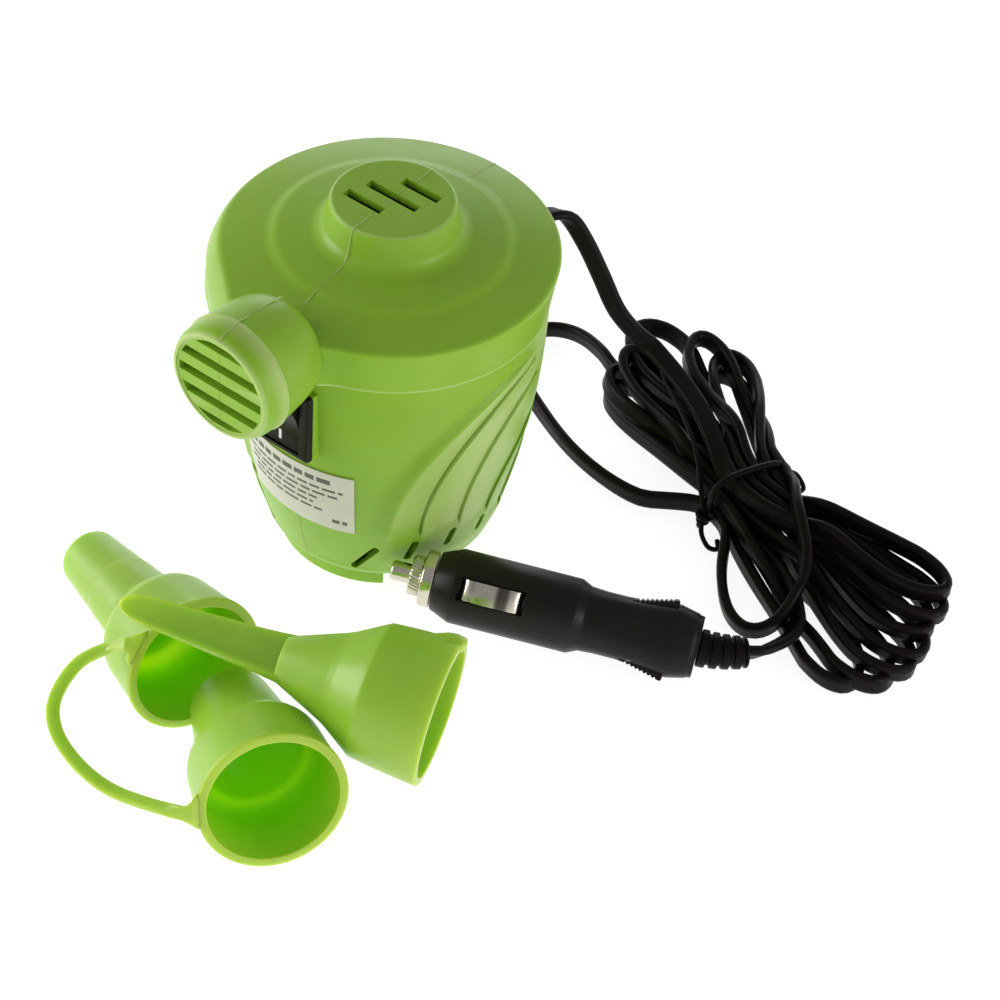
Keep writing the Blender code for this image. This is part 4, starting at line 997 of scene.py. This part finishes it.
# ---------------------------------------------------------------- plug
PLUG_ORIGIN = Vector((38.8, -24.2, 16.4))
PLUG_DIR = Vector((0.900, 0.424, -0.074)).normalized()
CONTACT_LIFT = 44.0                          # degrees that the visible side contact is turned up
BARREL_R, GRIP_END, RELIEF_END, RELIEF_BEND = 10.5, 74.5, 87.9, 2.6
LEAF = [(8.2, 0, 7.8), (9.9, 0, 9.3), (11.0, 0, 12.2), (11.2, 0, 16.5), (10.9, 0, 20.6), (9.8, 0, 23.8),
        (8.2, 0, 25.3)]
# along the leaf, and how dark the painted reflection on its curved metal is there
LEAF_PAINTED_REFLECTION = (8.5, 11.0, 12.5, 17.5, 18.4, 21.0, 21.9), (0, 0.35, 0, 0, 0.9, 0.85, 0)


def plug_axes():
    level = Vector((PLUG_DIR.y, -PLUG_DIR.x, 0)).normalized()
    lift = radians(CONTACT_LIFT)
    contact = level * cos(lift) + level.cross(PLUG_DIR) * sin(lift)
    return contact, PLUG_DIR.cross(contact)


def plug_pose():
    contact, third = plug_axes()
    pose = Matrix((contact, third, PLUG_DIR)).transposed().to_4x4()
    pose.translation = PLUG_ORIGIN
    return pose


def relief_point(s):
    t = max(0.0, s - GRIP_END) / (RELIEF_END - GRIP_END)
    return PLUG_ORIGIN + PLUG_DIR * s + Vector((-PLUG_DIR.y, PLUG_DIR.x, 0)) * RELIEF_BEND * t * t


def superellipse(half_x, half_y, s, power, n=72):
    ring = []
    for turn in turns(n):
        u, v = cos(turn), sin(turn)
        shape = (abs(u) ** power + abs(v) ** power) ** (-1 / power)
        ring.append((half_x * u * shape, half_y * v * shape, s))
    return ring


def plug_outer(pose):
    # along the plug: half sizes across the visible contact and to its side, and how square it is
    key = [(0.3, 7.9, 7.9, 2.0), (0.5, 8.15, 8.15, 2.0), (5.6, 10.3, 10.3, 2.0),
           (6.0, BARREL_R, BARREL_R, 2.0), (39.6, BARREL_R, BARREL_R, 2.0), (40.0, 10.35, 10.35, 2.0),
           (42.2, 9.0, 9.3, 2.2), (42.6, 8.8, 9.1, 2.3), (47.0, 8.6, 8.8, 2.5), (53.0, 8.4, 8.8, 2.6),
           (59.0, 8.5, 9.3, 2.6), (65.5, 8.7, 10.0, 2.7), (67.6, 8.8, 10.3, 2.7), (68.0, 8.75, 10.2, 2.7),
           (72.9, 7.9, 9.1, 2.6), (73.3, 7.6, 8.8, 2.6), (GRIP_END, 7.4, 8.6, 2.6)]
    rings = []
    for (s, a, b, p), (s2, a2, b2, p2) in zip(key, key[1:]):
        count = max(1, int((s2 - s) / 1.2)) if s > 42 else 1
        for i in range(count):
            t = i / count
            rings.append(superellipse(a + (a2 - a) * t, b + (b2 - b) * t, s + (s2 - s) * t, p + (p2 - p) * t))
    s, a, b, p = key[-1]
    rings.append(superellipse(a, b, s, p))
    shell = tool(loft(rings), pose)
    lug = [(7.0, 52.5), (8.5, 54.5), (11.2, 65.6), (11.3, 66.6), (10.9, 66.9), (7.0, 67.4)]
    return combine(shell, [tool(loft([[(x, side * y, s) for y, s in lug] for x in (-4.4, 4.4)]), pose)
                           for side in (-1, 1)], "UNION")


def plug_cuts(pose):
    """Bore, contact slots, screw hole and the grip ribs of the two lugs."""
    hollow = [(3.3, -1.0), (3.3, 5.0), (6.6, 5.5), (6.6, 38.0), (4.2, 40.0), (4.2, 62.0), (2.6, 63.5),
              (2.6, 80.0)]
    slot = [(5.0, 7.3), (14.0, 7.3), (14.0, 25.8), (5.0, 25.8)]
    screw = [(2.4, -30), (2.4, 6.4), (1.5, 6.5), (1.5, 8.6)]
    cuts = [tool(turned(hollow, 48), pose)]
    cuts += [tool(loft([[(side * x, y, s) for x, s in slot] for y in (-3.4, 3.4)]), pose) for side in (-1, 1)]
    cuts.append(tool(turned(screw, 32), pose @ along((-7.0, 0, 57), (1, 0, 0))))
    for side in (-1, 1):
        for k in range(8):
            s = 56.2 + 1.25 * k
            edge = 8.5 + 2.7 * (s - 54.5) / 11.1 + 0.35
            cuts.append(tool(loft([[(x, side * edge + 0.8 * cos(a), s + 0.42 * sin(a)) for a in turns(8)]
                                   for x in (-5.6, 5.6)]), pose))
    return cuts


def knurled(n=96):
    """Closed rings of the nut, with fine slanted grooves round its rim."""
    rings = []
    for s, r in ((-6.9, 4.9), (-6.6, 5.4), (-6.3, 5.6), (-4.0, 5.6), (-3.7, 5.3)):
        deep = 0.22 if r == 5.6 else 0.0
        ring = []
        for k in range(n):
            reach, turn = r - deep * (k % 3 == 0), 2 * pi * (k + s * 0.9) / n
            ring.append((reach * cos(turn), reach * sin(turn), s))
        rings.append(ring)
    return rings + [circle(3.15, -3.7, n), circle(3.15, -6.9, n)]


def build_leaf(name, node, side, pose):
    """Side contact: a bowed strip of spring metal that rides on its own body."""
    line = catmull(LEAF, 0.5)
    outer = [(side * p.x, p.z) for p in line]
    inner = [(side * (p.x - 0.5), p.z) for p in reversed(line)]
    widths = [(-2.95, 0), (-2.8, 0.06), (2.8, 0.06), (2.95, 0)]
    rings = [[(x + side * (lift if k < len(outer) else 0), y, s) for k, (x, s) in enumerate(outer + inner)]
             for y, lift in widths]
    leaf = make(name, *loft(rings), "nickel_leaf", pose, slot="nickel", body=name)
    # painted reflection: dark bands laid into the leaf's colour along its length
    weigh(leaf, "dark", [float(np.interp(s, *LEAF_PAINTED_REFLECTION)) for ring in rings for _, _, s in ring])
    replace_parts(leaf, node)


def build_plug():
    pose = plug_pose()
    shell = combine(plug_outer(pose), plug_cuts(pose))
    halves = (("plug_front", "plug_half_front", 1), ("plug_back", "plug_half_back", -1))
    split_in_two(shell, halves, 0.05, (-40, 40, -20, 120), "black_plastic", 30, pose)
    collar = rounded_profile([(3.15, -3.4), (7.5, -3.4), (7.9, -3.0), (7.9, -0.1), (3.15, -0.1)],
                             [0.2, 0.3, 0.2], 3)
    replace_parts(make("front_collar", *turned_ring(collar), "nickel", pose), "plug_collar")
    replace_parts(make("front_nut", *loft(knurled(), closed=True), "nickel", pose, angle=20), "plug_nut")
    tip = rounded_profile([(0.05, -12.6), (1.9, -12.6), (2.8, -12.0), (2.8, 4.6), (0.05, 4.6)],
                          [0.4, 0.5, 0.2], 4)
    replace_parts(make("tip", *turned(tip, 48), "nickel", pose, body="plug_core"), "plug_tip")
    build_leaf("leaf_front", "contact_front", 1, pose)
    build_leaf("leaf_back", "contact_back", -1, pose)
    ribs = [(4.9, 74.8), (5.3, 75.1)]
    for k in range(4):
        s, r = 75.4 + 3.0 * k, 5.3 - 0.2 * k
        ribs += [(r, s), (r, s + 1.5), (r - 0.25, s + 1.7), (r - 0.95, s + 1.9), (r - 0.95, s + 2.6),
                 (r - 0.3, s + 2.8)]
    ribs += [(4.3, RELIEF_END - 0.2), (3.3, RELIEF_END)]
    rings = []
    for r, s in ribs:
        ring_pose = along(relief_point(s), relief_point(s + 0.5) - relief_point(s - 0.5))
        rings.append([tuple(ring_pose @ Vector(p)) for p in circle(r, 0.0, 48)])
    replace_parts(make("relief", *loft(rings), "black_pvc", angle=40), "plug_relief")


# ---------------------------------------------------------------- adapters
# middle of the mouth, the way the nozzle points, its rise and its roll, in degrees
LONG_ADAPTER = ((12.2, -92.9, 20.7), 162.0, -11.2, 0.0)
WIDE_ADAPTER = ((60.2, -116.9, 24.75), 145.2, -17.2, 0.0)
PINCH_ADAPTER = ((79.0, -73.5, 34.1), 199.4, 4.6, -22.0)
SOCKET_R, SOCKET_BORE = 19.6, 17.3
LONG_TIE, WIDE_TIE = 40.0, 3.0               # where the strap meets the two rims
NUB_TURN = 60.0                              # where the small lug stands on the pinch adapter's rim


def adapter_pose(spec):
    mouth, azimuth, elevation, roll = spec
    lift, turn = radians(elevation), radians(azimuth)
    way = Vector((cos(turn) * cos(lift), sin(turn) * cos(lift), sin(lift)))
    return along(mouth, way) @ Matrix.Rotation(radians(roll), 4, "Z")


def lime_material():
    """Translucent lime vinyl: paler and yellower at thin rims, stronger green inside."""
    mat = plastic("soft_lime_vinyl", LIME, 0.33, 0.05, 700.0, 0.06, 0.85, (0.7, 1.0, 0.15), 0.006)
    tint(mat, ("inner", (0.30, 0.60, 0.006)), ("rim", (0.42, 0.56, 0.05)))
    return mat


def paint_adapter(ob, pose, tip_from=None):
    """Vertex weights for the material: inside surfaces, and thin rims."""
    back = pose.inverted()
    inner, rim = [], []
    for v in ob.data.vertices:
        p = back @ (v.co / MM)
        r = hypot(p.x, p.y)
        n = back.to_3x3() @ v.normal
        facing = -(n.x * p.x + n.y * p.y) / max(r, 0.1)
        inner.append(clamp(facing * 1.6) if r > 2.5 else 0.0)
        value = 1.0 - clamp(abs(p.z) / 2.2)
        if tip_from is not None:
            value = max(value, 0.85 * ease((p.z - tip_from) / 14.0))
        rim.append(value * 0.9)
    weigh(ob, "inner", inner)
    weigh(ob, "rim", rim)


def build_adapters():
    lime = lime_material()
    rim = [(SOCKET_BORE, 0.0), (SOCKET_R, 0.0), (SOCKET_R, 1.9), (SOCKET_R - 0.5, 2.5)]
    radii = [0.5, 0.5, 0.3]
    long_out = [(17.3, 18.6), (16.0, 21.2), (12.2, 24.2), (11.6, 27.0), (10.4, 40.0), (10.15, 41.0),
                (8.45, 59.4), (8.2, 60.0)]
    long_in = [(7.1, 60.0), (6.8, 59.4), (10.2, 26.4), (10.8, 24.8), (14.6, 21.0), (15.8, 18.4),
               (SOCKET_BORE, 0.0)]
    wide_out = [(18.2, 18.6), (17.4, 21.0), (14.9, 22.4), (14.5, 23.4), (11.0, 47.5), (10.8, 48.0)]
    wide_in = [(9.7, 48.0), (9.5, 47.4), (13.2, 23.0), (15.8, 19.8), (16.5, 18.2), (SOCKET_BORE, 0.0)]
    for name, node, out, inn, spec in (("long_nozzle", "adapter_long", long_out, long_in, LONG_ADAPTER),
                                       ("wide_nozzle", "adapter_wide", wide_out, wide_in, WIDE_ADAPTER)):
        rounds = radii + [1.6, 1.4, 1.4] + [0.5] * (len(out) - 4) + [0.3, 0.3]
        outline = rounded_profile(rim + out + inn, rounds + [0.3, 1.2, 1.0, 1.4, 1.2][:len(inn) - 1], 5)
        pose = adapter_pose(spec)
        ob = make(name, *turned_ring(outline[:-1], 144), lime, pose, angle=40, slot="soft_lime",
                  body="tied_adapters")
        paint_adapter(ob, pose)
        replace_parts(ob, node)
    build_pinch(lime)
    build_strap(lime)


def build_pinch(lime):
    pose = adapter_pose(PINCH_ADAPTER)
    outline = [(SOCKET_BORE, 0.0), (SOCKET_R, 0.0), (18.75, 12.0), (18.05, 19.0), (17.55, 19.9), (12.9, 27.4),
               (11.9, 29.4), (6.2, 43.5), (4.4, 43.5), (10.4, 29.4), (15.5, 19.8), (16.1, 18.0),
               (SOCKET_BORE, 0.0)]
    outline = rounded_profile(outline, [0.6, 2.0, 0.4, 0.4, 0.3, 0.3, 0.2, 0.2, 1.0, 1.0, 1.0], 5)
    ob = tool(turned_ring(outline[:-1], 128), pose)
    # along the tongue: half width, and how far it reaches below and above its middle
    key = [(38.0, 6.9, 3.4, 3.4), (43.5, 6.3, 3.0, 3.0), (47.0, 6.0, 2.4, 2.6), (52.0, 5.6, 2.0, 2.2),
           (66.0, 4.8, 1.4, 1.7), (80.0, 3.9, 1.1, 1.5), (85.0, 3.2, 0.95, 1.25), (87.4, 2.2, 0.75, 1.0),
           (88.5, 1.0, 0.5, 0.7)]
    section = ((-1, -0.3), (-0.8, -0.75), (-0.4, -1), (0, -1.04), (0.4, -1), (0.8, -0.75), (1, -0.3),
               (1.02, 0.5), (0.97, 0.95), (0.85, 0.95), (0.6, 0.62), (0.25, 0.5), (-0.25, 0.5),
               (-0.6, 0.62), (-0.85, 0.95), (-0.97, 0.95), (-1.02, 0.5))
    rings = []
    for q in catmull([(k[0], 0, 0) for k in key], 1.5):
        half, low, high = (float(np.interp(q.x, [k[0] for k in key], [k[i] for k in key])) for i in (1, 2, 3))
        rings.append([(half * u, (low if v < 0 else high) * v, q.x) for u, v in section])
    lug = [[(1.7 * w * cos(a), w * sin(a), s) for a in turns(20)]
           for s, w in ((-1.0, 0.9), (-0.4, 1.9), (2.0, 2.2), (4.5, 1.8), (8.0, 0.4))]
    nub = tool(loft(lug), pose @ Matrix.Rotation(radians(NUB_TURN), 4, "Z")
               @ Matrix.Translation((0.0, SOCKET_R - 0.8, 0.2)))
    combine(ob, [tool(loft(rings), pose), nub], "UNION")
    finish_solid(ob, "pinch_nozzle", lime, 40, "loose_adapter")
    paint_adapter(ob, pose, 70.0)
    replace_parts(ob, "adapter_pinch")


def rim_point(spec, degrees, reach):
    turn = radians(degrees)
    return adapter_pose(spec) @ Vector((reach * cos(turn), reach * sin(turn), 1.2))


def build_strap(lime):
    """Flat strap that ties the two sockets together, flaring where it meets each rim."""
    ends = [[rim_point(spec, angle, SOCKET_R + out) for out in (-0.8, 3.4)]
            for spec, angle in ((LONG_ADAPTER, LONG_TIE), (WIDE_ADAPTER, WIDE_TIE))]
    route = [*ends[0], (-3.0, -109.0, 30), (-6.9, -116.1, 27.5), (-6.2, -124.5, 25), (-3, -130.5, 23),
             (3.8, -135, 21.5), (15, -137.8, 20.5), (27, -137.6, 20.5), *ends[1][::-1]]
    section = ((-1, 0), (-0.9, -0.7), (-0.6, -1), (0.6, -1), (0.9, -0.7), (1, 0), (0.9, 0.7), (0.6, 1),
               (-0.6, 1), (-0.9, 0.7))
    points = catmull(route, 1.2)
    total = len(points) - 1
    rings = []
    rims = [rim_point(spec, angle + 5.0, SOCKET_R) - rim_point(spec, angle - 5.0, SOCKET_R)
            for spec, angle in ((LONG_ADAPTER, LONG_TIE), (WIDE_ADAPTER, WIDE_TIE))]
    for k, (p, way) in enumerate(zip(points, ways(points))):
        way.normalize()
        near = min(k, total - k) * 1.2
        side = way.cross(Vector((0, 0, 1))).normalized()
        rim = rims[0 if k < total / 2 else 1].normalized()
        if rim.dot(side) < 0:
            rim = -rim
        side = side.lerp(rim, 1 - ease((near - 2.0) / 12.0))
        side = (side - way * side.dot(way)).normalized()
        up = side.cross(way)
        half = 1.85 + 3.6 * (1 - ease(near / 6.5)) ** 2
        rings.append([tuple(p + side * half * u + up * 0.95 * v) for u, v in section])
    ob = make("tie_strap", *loft(rings), lime, angle=40, slot="soft_lime", body="tied_adapters")
    count = len(ob.data.vertices)
    weigh(ob, "inner", [0.0] * count)
    weigh(ob, "rim", [0.8] * count)
    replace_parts(ob, "adapter_strap")


# ---------------------------------------------------------------- everything
camera()
make_materials()
studio()
dress_nodes()
lead, lead_path, lead_length = build_cord()
build_tie()
build_casing()
build_label()
build_switch()
build_grommet()
build_plug()
build_adapters()
